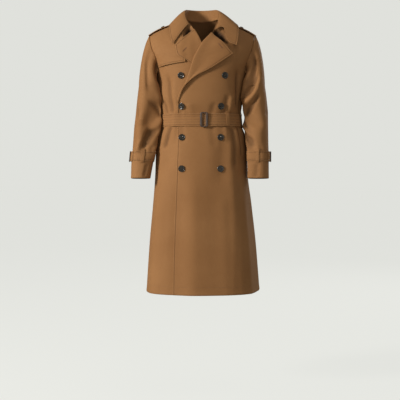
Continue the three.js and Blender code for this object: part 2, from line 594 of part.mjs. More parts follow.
// Stands a mesh's +Z along a normal at a point, with its +Y as near to upright as it can be.
function seat(mesh, point, normal) {
  const up = new THREE.Vector3(0, 0, 1);
  const right = up.cross(normal).normalize();
  const tall = normal.clone().cross(right);
  mesh.quaternion.setFromRotationMatrix(new THREE.Matrix4().makeBasis(right, tall, normal));
  mesh.position.copy(point);
}

const SLEEVE_BUCKLE = { width: 28, height: 44, side: 5, bar: 5, deep: 3.6 };
for (const [side, hand] of [[-1, 'right'], [1, 'left']]) {
  add(`sleeve_${hand}`, sleeve(side), CLOTH);
  add(`sleeve_strap_${hand}`, sleeveStrap(side), CLOTH);
  add(`strap_loop_front_${hand}`, sleeveLoop(side, side < 0 ? 92 : 98), CLOTH);
  add(`strap_loop_back_${hand}`, sleeveLoop(side, 262), CLOTH);
  const buckle = add(`sleeve_buckle_${hand}`, buckleFrame(SLEEVE_BUCKLE), LEATHER);
  const middle = (SLEEVE_STRAP.from + SLEEVE_STRAP.to) / 2;
  const out = STRAP.gap + SLEEVE_STRAP.lapLift + STRAP.wall + 0.6;
  seat(buckle, sleevePoint(side, 0, middle, out), sleeveNormal(side, 0, middle));
}

// ---------------------------------------------------------------- belt
const beltTop = BELT.z + BELT.height / 2;
const beltFoot = BELT.z - BELT.height / 2;
// The belt's inner face steps up over the left front's edge.
function beltOut(degrees) {
  const { x } = smoothPoint(degrees, BELT.z);
  const over = Math.cos(degrees * RAD) > 0 ? ease(-132, -106, x) * (1 - ease(118, 150, x)) : 0;
  return WALL + BELT.gap + (WALL + 1.6) * over;
}
const beltLayer = (degrees, layer) => beltOut(degrees) + layer * (BELT.wall + 0.5);
// The belt is straight across its height, and stands off the hollow of the waist.
const beltPoint = (degrees, v, out) => bodyPoint(degrees, beltFoot, out)
  .lerp(bodyPoint(degrees, beltTop, out), v);
add('belt', wall(64, 1, (u, v) => {
  const degrees = 360 * u;
  const out = beltLayer(degrees, 0);
  return { inner: beltPoint(degrees, v, out), outer: beltPoint(degrees, v, out + BELT.wall) };
}, { ring: true }), CLOTH);
const BUCKLE = { x: 5, width: 33, height: 60, side: 10, bar: 5.5, deep: 5 };
const BELT_END = { fromX: 2, toAngle: 62 };
add('belt_end', bodyWall(16, 1, (u, v) => {
  const degrees = mix(angleOf(BELT_END.fromX, BELT.z), BELT_END.toAngle, u);
  return { degrees, z: mix(beltFoot, beltTop, v), out: beltLayer(degrees, 1) };
}, BELT.wall), CLOTH);
const buckle = add('belt_buckle', buckleFrame(BUCKLE), LEATHER);
const buckleAngle = angleOf(BUCKLE.x, BELT.z);
seat(buckle, beltPoint(buckleAngle, 0.5, beltLayer(buckleAngle, 2) + 0.35),
  smoothNormal(buckleAngle, BELT.z));

const beltLoop = (middle, spread, layer) => loopWall(
  (u, z, out) => bodyPoint(middle + spread * (2 * u - 1), z, out),
  beltFoot, beltTop, WALL + 0.5, beltLayer(middle, layer));
add('belt_loop_right', beltLoop(-76, 2.6, 1), CLOTH);
add('belt_loop_left', beltLoop(80, 2.6, 1), CLOTH);
// The keeper holds the belt's end against the belt.
const KEEPER = { x: 93, wide: 12, wall: 1.6, gap: 0.6 };
const KEEPER_ROWS = [
  { past: KEEPER.gap + KEEPER.wall, leg: true }, { past: KEEPER.gap, leg: true },
  { past: KEEPER.gap - 0.1, leg: false },
];
add('belt_keeper', wall(2, 2 * KEEPER_ROWS.length - 1, (u, v) => {
  const x = KEEPER.x + KEEPER.wide * (u - 0.5);
  const layer = (k) => beltLayer(angleOf(x, BELT.z), k);
  const upright = (across, out) => bodyAt(x, beltFoot, out).lerp(bodyAt(x, beltTop, out), across);
  const k = Math.round(v * (2 * KEEPER_ROWS.length - 1));
  const row = KEEPER_ROWS[Math.min(k, 2 * KEEPER_ROWS.length - 1 - k)];
  const past = row.past / BELT.height;
  const across = k < KEEPER_ROWS.length ? -past : 1 + past;
  return {
    inner: upright(across, row.leg ? layer(0) + 0.3 : layer(2)),
    outer: upright(across, layer(2) + KEEPER.wall),
  };
}), CLOTH);

// ---------------------------------------------------------------- shoulder straps
const EPAULETTE = { fromX: 106, toX: 219, half: 24, wall: 2.4, buttonX: 160 };
function ridgePoint(x, y, out) {
  const drop = SHOULDER_ROUND * (1 - Math.sqrt(1 - (y / 130) ** 2));
  const beyond = Math.max(0, Math.abs(x) - TIP.x);
  const slope = Math.atan2(NECK.z - TIP.z, TIP.x - NECK.x);
  const z = shoulderZ(x) - drop - beyond * 0.3;
  return new THREE.Vector3(x + Math.sign(x) * out * Math.sin(slope), y, z + out * Math.cos(slope));
}
const epauletteOut = (side) => WALL + 0.8 + (side < 0 ? WALL + LAYER_GAP : 0);
function epaulette(side) {
  return wall(8, 4, (u, v) => {
    const taper = mix(0.86, 1, u) - 0.5 * ease(0.1, 0, u);
    const y = EPAULETTE.half * taper * (2 * v - 1);
    const x = side * mix(EPAULETTE.fromX, EPAULETTE.toX, u);
    const out = epauletteOut(side) + 1.4 * u;
    return { inner: ridgePoint(x, y, out), outer: ridgePoint(x, y, out + EPAULETTE.wall) };
  });
}

// ---------------------------------------------------------------- buttons
function button(radius, height, sides) {
  const { rim, dish } = BUTTON;
  const profile = [[0, 0], [radius - 1.6, 0], [radius, 1.3], [radius, height - 1],
    [radius - 1, height], [radius - rim, height], [radius - rim - 1, height - dish],
    [0, height - dish]];
  const geometry = new THREE.LatheGeometry(profile.map(([x, y]) => new THREE.Vector2(x, y)), sides);
  return geometry.rotateX(Math.PI / 2);
}
BUTTON_ROWS.forEach((row, k) => {
  for (const [side, hand] of [[-1, 'right'], [1, 'left']]) {
    const degrees = angleOf(side * row[hand], row.z);
    const under = side < 0 && k === 0 ? UNDER : overRight(degrees, row.z);
    const mesh = add(`button_${k + 1}_${hand}`, button(BUTTON.radius, BUTTON.height, 16), HORN);
    seat(mesh, bodyPoint(degrees, row.z, under + WALL + row.thread), bodyNormal(degrees, row.z));
  }
});
for (const [side, hand] of [[-1, 'right'], [1, 'left']]) {
  add(`epaulette_${hand}`, epaulette(side), CLOTH);
  const mesh = add(`epaulette_button_${hand}`, button(8, 3, 12), HORN);
  const x = side * EPAULETTE.buttonX;
  const top = epauletteOut(side) + EPAULETTE.wall + 1.4;
  seat(mesh, ridgePoint(x, 0, top), ridgePoint(x, 0, 1).sub(ridgePoint(x, 0, 0)).normalize());
}

export default coat;
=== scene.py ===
"""Trench coat, worn and belted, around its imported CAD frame.

Every cloth piece is a thin shell on its solid's surface, worked out from the same sizes in
millimetres, with finer creases, turned edges and sewing. Buttons and buckles are modelled again
in more detail. The script is in four parts: surfaces, cloth, hard pieces, and the studio.
"""
import math

import bpy
import numpy as np
from mathutils import Matrix, Vector


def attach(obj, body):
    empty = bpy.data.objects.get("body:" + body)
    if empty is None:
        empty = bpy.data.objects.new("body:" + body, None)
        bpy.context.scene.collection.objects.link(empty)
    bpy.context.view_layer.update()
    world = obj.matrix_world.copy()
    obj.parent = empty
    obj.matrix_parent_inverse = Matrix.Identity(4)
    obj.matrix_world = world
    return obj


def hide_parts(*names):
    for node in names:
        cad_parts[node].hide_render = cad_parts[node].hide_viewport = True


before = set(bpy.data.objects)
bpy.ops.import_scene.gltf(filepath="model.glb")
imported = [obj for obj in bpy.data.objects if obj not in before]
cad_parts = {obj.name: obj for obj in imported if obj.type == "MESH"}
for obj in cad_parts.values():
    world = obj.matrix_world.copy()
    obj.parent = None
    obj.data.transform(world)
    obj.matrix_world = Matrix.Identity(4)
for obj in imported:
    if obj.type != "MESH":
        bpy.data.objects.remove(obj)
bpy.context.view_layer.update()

MM = 0.001

# ---- sizes, as in the part's source
WALL = 2.0
LAYER_GAP = 0.85
HEM_Z = -1122.0
UNDERARM_Z = -235.0
NECK_X, NECK_Z = 66.0, -6.0
TIP_X, TIP_Z = 217.0, -74.0
SHOULDER_ROUND = 150.0
SHOULDER_CROWN = 6.0
SQUARE = 2.35
BREAK_Z = -352.0
HIDDEN_EDGE_X = 110.0
SEAM = 0.3
BELT_Z, BELT_HEIGHT, BELT_WALL, BELT_GAP = -424.0, 54.0, 2.6, 0.7
STRAP_WALL, STRAP_GAP = 2.2, 0.7
LOOP_WALL, LOOP_RISE = 1.6, 4.0


def table(names, *rows):
    """A short table with named columns."""
    return {name: np.array([row[k] for row in rows], float) for k, name in enumerate(names.split())}


TORSO = table(
    "z right left front back",
    (-1122, 229, 231, 178, 172), (-915, 215, 214, 163, 160), (-749, 200, 195, 151, 150),
    (-640, 193, 184, 144, 144), (-542, 190, 182, 139, 137), (-480, 181, 173, 130, 124),
    (-424, 167, 154, 121, 110), (-380, 172, 158, 124, 112), (-335, 181, 165, 129, 117),
    (-270, 184, 172, 132, 122), (-211, 190, 181, 130, 125), (-150, 219, 213, 121, 122),
    (-100, 237, 234, 108, 115), (-50, 241, 240, 90, 106), (30, 241, 240, 64, 92),
)
ARMHOLE = table(
    "z right left",
    (-236, 186, 176), (-222, 179, 170), (-190, 184, 178), (-158, 194, 191),
    (-125, 207, 202), (-95, 214, 209), (-74, 217, 217),
)
ROLL_LEFT = table(
    "z x",
    (-352, -98), (-330, -94), (-305, -84), (-274, -64), (-236, -50), (-182, -33),
    (-117, 2), (-71, 38), (-6, 66),
)
ROLL_RIGHT = table("z x", (-352, 98), (-274, 66), (-190, 30), (-120, -2), (-40, -44), (-6, -66))
LAPEL_EDGE_LEFT = table(
    "s x z",
    (0, 118, -160), (0.42, 24, -224), (0.62, -20, -247), (0.75, -56, -276),
    (0.88, -78, -308), (1, -94, -355),
)
LAPEL_EDGE_RIGHT = table(
    "s x z",
    (0, -107, -126), (0.2, -101, -160), (0.42, -60, -188), (0.7, 10, -236), (1, 94, -355),
)
COLLAR = table(
    "s roll_x roll_y roll_z edge_x edge_y edge_z",
    (0, -56, -64, -30, -121, -110, -118), (0.1, -70, -44, 2, -131, -82, -76),
    (0.2, -73, -18, 28, -138, -40, -33), (0.3, -66, 12, 40, -132, 16, -21),
    (0.4, -46, 44, 43, -98, 78, -36), (0.5, -6, 62, 44, -2, 112, -46),
    (0.6, 34, 46, 43, 98, 80, -36), (0.7, 56, 14, 40, 138, 16, -21),
    (0.8, 68, -18, 24, 148, -40, -37), (0.9, 66, -46, -14, 146, -82, -78),
    (1, 43, -90, -71, 137, -120, -129),
)
SLEEVE_RIGHT = table(
    "z outer inner middle deep lean tilt",
    (-280, 262, 189, -14, 82, 20, 0), (-345, 270, 187, -12, 78, 26, 0),
    (-398, 275, 183, -14, 73, 31, 0.02), (-454, 281, 186, -22, 70, 29, 0.04),
    (-507, 284, 191, -32, 64, 22, 0.05), (-552, 287, 194, -40, 60, 14, 0.05),
    (-603, 291, 203, -47, 56, 4, 0.05), (-659, 292, 213, -54, 54, 0, 0.05),
)
SLEEVE_LEFT = table(
    "z outer inner middle deep lean tilt",
    (-280, 257, 176, -14, 82, 20, 0), (-345, 266, 170, -12, 78, 24, 0),
    (-398, 270, 171, -14, 73, 18, 0.02), (-454, 270, 176, -22, 70, 20, 0.04),
    (-507, 270, 185, -32, 64, 22, 0.05), (-552, 270, 189, -48, 60, 18, 0.05),
    (-603, 270, 188, -57, 56, 16, 0.05), (-659, 270, 186, -63, 54, 13, 0.05),
)
# Folds: height of the top and bottom end, the angle there, half width in degrees, and height.
BODY_FOLDS = [
    (-225, -400, -47, -41, 9, -7), (-450, -640, -41, -46, 9, -6), (-190, -392, 50, 62, 12, -9),
    (-300, -398, 40, 41, 8, 4), (-450, -800, 40, 33, 9, 6), (-450, -700, 26, 20, 9, -4),
    (-450, -620, 68, 60, 10, -5), (-620, -1180, -62, -58, 15, 8),
    (-560, -1180, -40, -37, 12, -7), (-600, -1180, -20, -19, 12, 5),
    (-640, -1180, 20, 24, 14, -5), (-640, -1180, 52, 50, 14, 6), (-640, -1180, 76, 76, 13, -7),
    (-600, -1180, 104, 104, 15, 8), (-460, -1180, 135, 132, 14, -8),
    (-560, -1180, 160, 162, 14, 7), (-460, -1180, -168, -170, 13, -7),
    (-560, -1180, -145, -143, 14, 8), (-460, -1180, -118, -114, 14, -8),
    (-240, -400, 128, 138, 12, -7), (-240, -400, -128, -140, 12, -7),
]
SLEEVE_FOLDS = [
    (-110, -330, 70, 104, 22, -6), (-150, -390, 120, 128, 18, 5), (-330, -470, 150, 80, 26, -9),
    (-420, -540, 60, 120, 26, 5), (-330, -480, 250, 300, 26, -6), (-150, -360, 270, 240, 22, -6),
]
# Creases too fine for the solids, drawn in as soft troughs and ridges. One that starts or ends at
# the belt keeps its depth up to it.
ABOVE_BELT, BELOW_BELT = -399, -449
BELT_FADE, TOP_FADE, END_FADE = 0.08, 0.3, 0.25     # shares of a fold's length
CREASE_DEEP = 5.5               # a trough this deep is fully shaded
NARROW_ON_BODY, NARROW_ON_SLEEVE = 4.2, 12
BODY_CREASES = [
    (-225, -399, -46, -40, 3.4, -4.9), (-250, -399, -36, -32, 4.0, 3.2),
    (-330, -399, -60, -53, 3.4, -4.6), (-344, -399, -27, -25, 3.0, -3.0),
    (-352, -399, -12, -10, 3.4, 2.2), (-350, -399, 15, 12, 3.2, -3.0),
    (-310, -399, 34, 30, 3.6, -4.6), (-320, -399, 41, 39, 3.2, 4.3),
    (-200, -392, 50, 62, 4.2, -6.2), (-300, -399, 72, 69, 3.6, -3.8),
    (-449, -545, -44, -52, 3.6, -5.7), (-449, -520, -35, -36, 3.0, 3.2),
    (-449, -540, -66, -70, 3.8, -4.6), (-449, -520, -24, -20, 3.2, -2.7),
    (-449, -540, 10, 12, 3.6, -2.4), (-449, -640, 41, 40, 4.0, -5.4),
    (-449, -560, 49, 52, 3.0, 3.5), (-449, -580, 57, 60, 3.4, -4.9),
    (-449, -520, 31, 27, 3.0, 2.7), (-449, -520, 70, 72, 3.0, 3.5),
    (-449, -540, 79, 82, 3.4, -4.1),
    (-449, -530, 98, 96, 3.6, -4.6), (-449, -560, 108, 110, 3.4, 3.5),
    (-449, -545, 118, 121, 3.8, -4.9), (-449, -600, 147, 144, 4.2, -5.7),
    (-449, -560, 157, 156, 3.4, 3.8), (-449, -550, 167, 168, 3.6, -4.6),
    (-449, -520, 178, 179, 3.2, 3.0), (-449, -560, -172, -171, 3.4, -4.1),
    (-449, -620, -156, -159, 4.2, -5.9), (-449, -560, -146, -147, 3.4, 3.8),
    (-449, -550, -134, -131, 3.8, -4.9), (-449, -560, -112, -110, 3.4, 3.5),
    (-449, -560, -100, -97, 3.6, -4.6), (-449, -530, -82, -84, 3.2, -3.8),
    (-330, -399, 100, 104, 3.6, -3.8), (-290, -399, 131, 136, 4.2, -5.1),
    (-320, -399, 150, 153, 4.0, -4.6), (-300, -399, 160, 161, 3.6, 3.8),
    (-335, -399, 176, 174, 3.4, 3.2), (-325, -399, -168, -166, 3.8, -4.1),
    (-280, -399, -156, -152, 4.2, -5.4), (-320, -399, -142, -143, 3.6, 3.8),
    (-335, -399, -104, -108, 3.6, -4.1), (-130, -300, -62, -52, 7, -2.6),
    (-140, -330, 158, 168, 9, -4.2), (-150, -350, -150, -162, 9, -4.6),
    (-120, -240, 137, 130, 7, -3.4), (-120, -250, -136, -128, 7, -3.6),
    (-640, -1180, 20, 24, 14, 3.4), (-560, -1180, -5, -3, 12, 4.5),
    (-600, -1180, -22, -20, 9, -8.5), (-600, -1180, -41, -38, 11, 7.0),
    (-600, -1180, 5, 6, 8, -4.0), (-449, -600, -33, -34, 6, -2.4),
    (-600, -1180, -52, -50, 6, -1.6), (-640, -1180, 12, 14, 6, -1.0),
    (-600, -1180, 38, 36, 6, 2.2), (-640, -1180, -52, -49, 6, 2.4),
    (-660, -1180, -72, -70, 6, -2.6), (-700, -1180, 64, 62, 6, -2.8),
    (-640, -1180, 122, 120, 7, 3.0), (-640, -1180, -128, -126, 7, 3.0),
]
SLEEVE_CREASES = {
    -1: [
        (-105, -300, 104, 142, 8, -8.1), (-118, -290, 84, 122, 9, 5.0),
        (-150, -330, 66, 108, 9, -2.6), (-235, -398, 150, 168, 8, -6.2),
        (-300, -400, 128, 140, 8, 4.2), (-330, -430, 100, 150, 9, -5.2),
        (-440, -545, 118, 88, 12, -10.0), (-400, -470, 142, 112, 9, 5.8),
        (-468, -540, 146, 128, 9, -3.0), (-500, -560, 78, 60, 9, 4.5),
        (-590, -660, 118, 112, 9, -3.2), (-520, -560, 108, 112, 6, 3.0),
        (-400, -450, 290, 240, 11, -6.2), (-440, -530, 226, 285, 11, -6.5),
        (-300, -400, 320, 262, 12, -5.8), (-180, -320, 302, 258, 12, -6.5),
        (-350, -440, 188, 176, 12, -6.0), (-130, -250, 250, 226, 10, 4.2),
        (-470, -520, 300, 330, 10, 3.8), (-340, -420, 20, 48, 10, -3.8),
        (-375, -580, 112, 104, 19, -7.5), (-375, -580, 64, 60, 16, 3.0),
    ],
    1: [
        (-110, -250, 112, 146, 7, -7.5), (-120, -262, 92, 128, 7, 6.5),
        (-135, -290, 74, 112, 8, -6.8), (-225, -360, 76, 140, 9, -7.5),
        (-235, -372, 58, 122, 9, 5.8), (-290, -402, 84, 152, 9, 6.2),
        (-300, -420, 70, 138, 9, -6.5), (-392, -462, 160, 124, 8, -6.8),
        (-420, -500, 152, 116, 8, 5.5), (-452, -540, 146, 100, 9, -7.0),
        (-500, -560, 120, 84, 9, 4.0), (-590, -660, 100, 104, 9, -3.2),
        (-400, -460, 284, 236, 11, -6.0), (-430, -520, 232, 290, 11, -6.2),
        (-290, -390, 316, 266, 12, -6.0), (-190, -310, 296, 254, 12, -6.0),
        (-340, -430, 192, 180, 12, -5.8), (-140, -260, 246, 222, 10, 4.2),
        (-460, -530, 306, 336, 10, 3.8), (-330, -410, 16, 40, 10, -4.0),
        (-170, -345, 112, 116, 12, -7.5), (-430, -560, 128, 124, 12, -4.4),
    ],
}
BUTTON_ROWS = table(
    "z right left thread",
    (-246, 86, 86, 0.8), (-368, 82, 71, 0.8), (-495, 82, 71, 0.8), (-620, 82, 71, 1.1),
)


# ---- numbers
def mix(a, b, t):
    return a + (b - a) * t


def ease(start, end, value):
    t = np.clip((value - start) / (end - start), 0, 1)
    return t * t * (3 - 2 * t)


def power(value, exponent):
    return np.sign(value) * np.abs(value) ** exponent


def bump(distance, width):
    """A soft hill of height 1 and the given half width."""
    return np.exp(-((distance / width) ** 2))


def sin_cos(degrees):
    return np.sin(np.radians(degrees)), np.cos(np.radians(degrees))


def unit(vectors):
    return vectors / np.maximum(np.linalg.norm(vectors, axis=-1, keepdims=True), 1e-9)


def point(x, y, z):
    x, y, z = np.broadcast_arrays(*(np.asarray(v, float) for v in (x, y, z)))
    return np.stack([x, y, z], -1)


def lengths(points):
    """How far along a line of points each of them is."""
    return np.insert(np.cumsum(np.linalg.norm(np.diff(points, axis=0), axis=1)), 0, 0)


def column(rows, name, value, key="z"):
    """A column of a table at key values, on a smooth curve that never overshoots its rows."""
    x, y = rows[key], rows[name]
    if x[0] > x[-1]:
        x, y = x[::-1], y[::-1]
    value = np.clip(value, x[0], x[-1])
    step, slope = np.diff(x), np.diff(y) / np.diff(x)
    before, after = slope[:-1], slope[1:]
    total = np.where(before + after == 0, 1, before + after)
    inner = np.where(before * after <= 0, 0, 2 * before * after / total)
    tangent = np.concatenate([slope[:1], inner, slope[-1:]])
    i = np.clip(np.searchsorted(x, value, side="right") - 1, 0, len(x) - 2)
    t = (value - x[i]) / step[i]
    return (
        y[i] * (1 + 2 * t) * (1 - t) ** 2 + tangent[i] * step[i] * t * (1 - t) ** 2
        + y[i + 1] * t * t * (3 - 2 * t) + tangent[i + 1] * step[i] * t * t * (t - 1)
    )


def fold_height(folds, degrees, z):
    """Height of the folds at angles in degrees and heights z."""
    total = np.zeros(np.broadcast(degrees, z).shape)
    for top, end, angle_top, angle_end, half, height in folds:
        along = np.clip((top - z) / (top - end), 0, 1)
        away = np.abs((degrees - mix(angle_top, angle_end, along) + 540) % 360 - 180) / half
        start = BELT_FADE if top == BELOW_BELT else TOP_FADE
        stop = 1 - (BELT_FADE if end == ABOVE_BELT else END_FADE)
        ends = ease(0, start, along) * (1 if end < HEM_Z else 1 - ease(stop, 1, along))
        total += np.where(away < 2, height * ends * (0.5 + 0.5 * np.cos(np.pi * away / 2)), 0)
    return total


def crease_shade(creases, narrow, most, degrees, z):
    """How far the bottom of the narrow troughs is out of the light, from 0 to most."""
    narrow = [row for row in creases if row[4] <= narrow]
    return most * np.clip(-fold_height(narrow, degrees, z) / CREASE_DEEP, 0, 1) ** 1.6


# ---- the body's surface
def shoulder_z(x):
    share = (np.abs(x) - NECK_X) / (TIP_X - NECK_X)
    seam = mix(NECK_Z, TIP_Z, share) + SHOULDER_CROWN * np.sin(np.pi * np.clip(share, 0, 1) ** 2)
    return np.where(share > 0, seam, NECK_Z + 20 * (1 - (x / NECK_X) ** 2))


def span(z):
    right, left = column(TORSO, "right", z), column(TORSO, "left", z)
    return (left + right) / 2, (left - right) / 2


def angle_of(x, z, back=False):
    half, middle = span(z)
    share = np.clip(np.abs(x - middle) / half, 0, 1) ** (SQUARE / 2)
    front = np.sign(x - middle) * np.degrees(np.arcsin(share))
    return np.where(front < 0, -180, 180) - front if back else front


def reach_at(cos, z):
    """The body's depth on the side, front or back, that an angle's cosine gives."""
    return np.where(cos > 0, column(TORSO, "front", z), column(TORSO, "back", z))


def smooth_point(degrees, z):
    half, middle = span(z)
    sin, cos = sin_cos(degrees)
    x = middle + half * power(sin, 2 / SQUARE)
    reach = reach_at(cos, z)
    below = np.clip((shoulder_z(x) - z) / SHOULDER_ROUND, 0, 1)
    round_off = np.sqrt(1 - (1 - below) ** 2)
    return point(x, -reach * power(cos, 2 / SQUARE) * round_off, z)


def smooth_normal(degrees, z):
    degrees, z = np.broadcast_arrays(np.asarray(degrees, float), np.asarray(z, float))
    around = smooth_point(degrees + 0.6, z) - smooth_point(degrees - 0.6, z)
    plain = np.cross(around, smooth_point(degrees, z + 2) - smooth_point(degrees, z - 2))

    def inside(x, y, h):
        half, middle = span(h)
        share = np.clip(np.abs(x - middle) / half, 0, 0.999) ** SQUARE
        deep = reach_at(sin_cos(degrees)[1], h) * (1 - share) ** (1 / SQUARE)
        return (y / deep) ** 2 + (1 - (shoulder_z(x) - h) / SHOULDER_ROUND) ** 2

    x, y, h = np.moveaxis(smooth_point(degrees, z), -1, 0)
    slope = point(
        inside(x + 1, y, h) - inside(x - 1, y, h),
        inside(x, y + 1, h) - inside(x, y - 1, h),
        inside(x, y, h + 1) - inside(x, y, h - 1),
    )
    near = (shoulder_z(x) - h <= 30)[..., None]
    return np.where(near, unit(slope), unit(plain))


def body_point(degrees, z, out):
    fold = fold_height(BODY_FOLDS, degrees, z) + fold_height(BODY_CREASES, degrees, z)
    return smooth_point(degrees, z) + smooth_normal(degrees, z) * (fold + out)[..., None]


def body_at(x, z, out):
    return body_point(angle_of(x, z), z, out)


def armhole_x(side, z):
    return side * column(ARMHOLE, "right" if side < 0 else "left", z)


def armhole_z(t):
    return mix(UNDERARM_Z, TIP_Z, (1 - np.cos(np.pi * t)) / 2)


def right_edge(z):
    return np.where(z > BREAK_Z, column(ROLL_RIGHT, "x", z), HIDDEN_EDGE_X)


def left_edge(z):
    below = mix(-98, -118, ease(BREAK_Z, HEM_Z, z))
    return np.where(z > BREAK_Z, column(ROLL_LEFT, "x", z), below)


def over_right(degrees, z):
    """How far the left front lies out, over the right one."""
    x = smooth_point(degrees, z)[..., 0]
    lift = mix(WALL + 1.6, 2 * WALL + 3.4, ease(BREAK_Z - 45, BREAK_Z - 4, z))
    return lift * (1 - ease(HIDDEN_EDGE_X + 6, HIDDEN_EDGE_X + 36, x)) * ease(-70, -130, z)


def front_place(side, edge, u, low_z, t):
    """Angle and height of column u of a front, in a row below the underarm or beside the armhole."""
    low = mix(side * 90, angle_of(edge(low_z), low_z), u)
    arm_z, edge_z = armhole_z(t), mix(UNDERARM_Z, NECK_Z, t)
    arm_x = armhole_x(side, arm_z)
    z = mix(arm_z, edge_z, u)
    flat = angle_of(mix(arm_x, edge(edge_z), u), z)
    turned = mix(angle_of(arm_x, arm_z), angle_of(edge(edge_z), edge_z), u)
    return np.where(t == 0, low, mix(turned, flat, t)), np.where(t == 0, low_z, z)


def back_place(u, low_z, t):
    """The same for the back, from the left side seam round to the right one."""
    def angle(x, z):
        return (angle_of(x, z, back=True) + 360) % 360

    arm_z = armhole_z(t)
    left_x, right_x = armhole_x(1, arm_z), armhole_x(-1, arm_z)
    x = mix(left_x, right_x, u)
    neck_z = np.where(np.abs(x) > NECK_X, shoulder_z(x), NECK_Z)
    share = (arm_z - UNDERARM_Z) / (TIP_Z - UNDERARM_Z)
    z = mix(mix(UNDERARM_Z, neck_z, share), arm_z, np.abs(2 * u - 1) ** 3)
    z = np.where(t == 1, neck_z, z)
    turned = mix(angle(left_x, arm_z), angle(right_x, arm_z), u)
    low = mix(90, 270, u)
    return np.where(t == 0, low, mix(turned, angle(x, z), t)), np.where(t == 0, low_z, z)


# ---- sleeves
SLEEVE_TOP_Z = -280.0
SLEEVE_LENGTH = 379.0
SLEEVE_SQUARE = 2.25
STRAP_FROM, STRAP_TO, STRAP_START, STRAP_LAPS = 271.0, 310.0, -24.0, 425.0
STRAP_LIFT = STRAP_WALL + 0.6


def sleeve_section(side, turn, z):
    rows = SLEEVE_RIGHT if side < 0 else SLEEVE_LEFT
    outer, inner = column(rows, "outer", z), column(rows, "inner", z)
    sin, cos = sin_cos(turn)
    x = (outer + inner) / 2 + (outer - inner) / 2 * power(cos, 2 / SLEEVE_SQUARE)
    forward = column(rows, "deep", z) * power(sin, 2 / SLEEVE_SQUARE)
    in_front = np.clip(-2 * sin * cos, 0, 1) * (sin > 0)
    x = x - column(rows, "lean", z) * in_front ** 3
    return point(side * x, column(rows, "middle", z) - forward, z + column(rows, "tilt", z) * forward)


def armhole_edge(side, turn):
    """The panels' outer edge round an armhole, and the way out from the body there."""
    sin, cos = sin_cos(turn)
    z = mix(UNDERARM_Z, TIP_Z, (1 + cos) / 2)
    x = armhole_x(side, z)
    degrees = np.where(sin >= 0, angle_of(x, z), angle_of(x, z, back=True))
    return body_point(degrees, z, np.full(np.shape(z), WALL)), smooth_normal(degrees, z)


def armhole_point(side, turn):
    cos = sin_cos(turn)[1]
    apart = SEAM + 0.4 + 2.2 * ((1 - cos) / 2) ** 4 + 1.8 * ((1 + cos) / 2) ** 4
    place = armhole_edge(side, turn)[0]
    place[..., 0] += side * apart
    return place


def sleeve_plain(side, turn, down):
    """The outside of a sleeve: down is in mm below its head, or from -1 to 0 within the head."""
    turn, down = np.broadcast_arrays(np.asarray(turn, float), np.asarray(down, float))
    tube = sleeve_section(side, turn, SLEEVE_TOP_Z - np.maximum(down, 0))
    t = np.clip(down + 1, 0, 1)[..., None]
    start = armhole_point(side, turn)
    end = sleeve_section(side, turn, np.full(turn.shape, SLEEVE_TOP_Z))
    sin, cos = sin_cos(turn)
    leave = unit(point(side * (0.62 - 0.1 * cos), -0.25 * sin, -0.7 - 0.05 * cos))
    reach = (np.linalg.norm(start - end, axis=-1) * (0.82 - 0.16 * cos))[..., None]
    head = (
        start * (1 + 2 * t) * (1 - t) ** 2 + leave * reach * t * (1 - t) ** 2
        + end * t * t * (3 - 2 * t) + point(0, 0, 1) * reach * t * t * (1 - t)
    )
    return np.where((down >= 0)[..., None], tube, head)


def sleeve_normal(side, turn, down):
    small = np.where(down < 0, 0.01, 2.0)
    around = sleeve_plain(side, turn + 1, down) - sleeve_plain(side, turn - 1, down)
    along = sleeve_plain(side, turn, down + small) \
        - sleeve_plain(side, turn, np.maximum(-1, down - small))
    return unit(np.cross(around, along) * side)


def sleeve_point(side, turn, down, out):
    turn, down, out = np.broadcast_arrays(*(np.asarray(v, float) for v in (turn, down, out)))
    place = sleeve_plain(side, turn, down)
    fold = fold_height(SLEEVE_FOLDS, turn, place[..., 2])
    fold = fold + fold_height(SLEEVE_CREASES[side], turn, place[..., 2])
    return place + sleeve_normal(side, turn, down) * (fold + out)[..., None]


# ---- thin shells
STITCH_IN, STRAP_STITCH_IN = 6.0, 5.0      # topstitching, from the edge
NO_EDGE = 50.0                  # said of points that are near no turned edge
FULL, GROOVE, PUCKER = 0.45, 0.9, 0.22     # a turned edge's swell, its stitches' dip and puckers
GROOVE_WIDE, PUCKER_WIDE = 1.5, 3.2
SEAM_RELIEF = [(0.3, 5, 3.0), (-1.1, 0, 2.2)]      # hills, as relief takes them
RIM = 0.34                      # how far a rim is rounded out, as a share of the thickness
FINE = [0, 0.9, 2.0, 3.2, 4.4, 5.4, 6.4, 7.6, 9.2, 11.5, 14.5]   # grid lines near an edge, in mm
UV_MM = 100                     # mm to a unit of the cloth's UV map
sewing = {}


def stops(length, step, fine_start=True, fine_end=True):
    """Places from 0 to 1 along a length, a step apart and closer together near its edges."""
    start = np.array(FINE if fine_start else [0.0])
    end = length - np.array(FINE if fine_end else [0.0])[::-1]
    count = max(2, int(round((end[0] - start[-1]) / step)) + 1)
    return np.concatenate([start, np.linspace(start[-1], end[0], count)[1:-1], end]) / length


def relief(away, *hills):
    """The height that soft hills give: each has a height, a distance from the edge where it lies,
    and a half width."""
    return sum(height * bump(away - place, wide) for height, place, wide in hills)


def sew(group, line):
    """Adds a row of stitches along a line of points and normals."""
    sewing.setdefault(group, []).append(line)


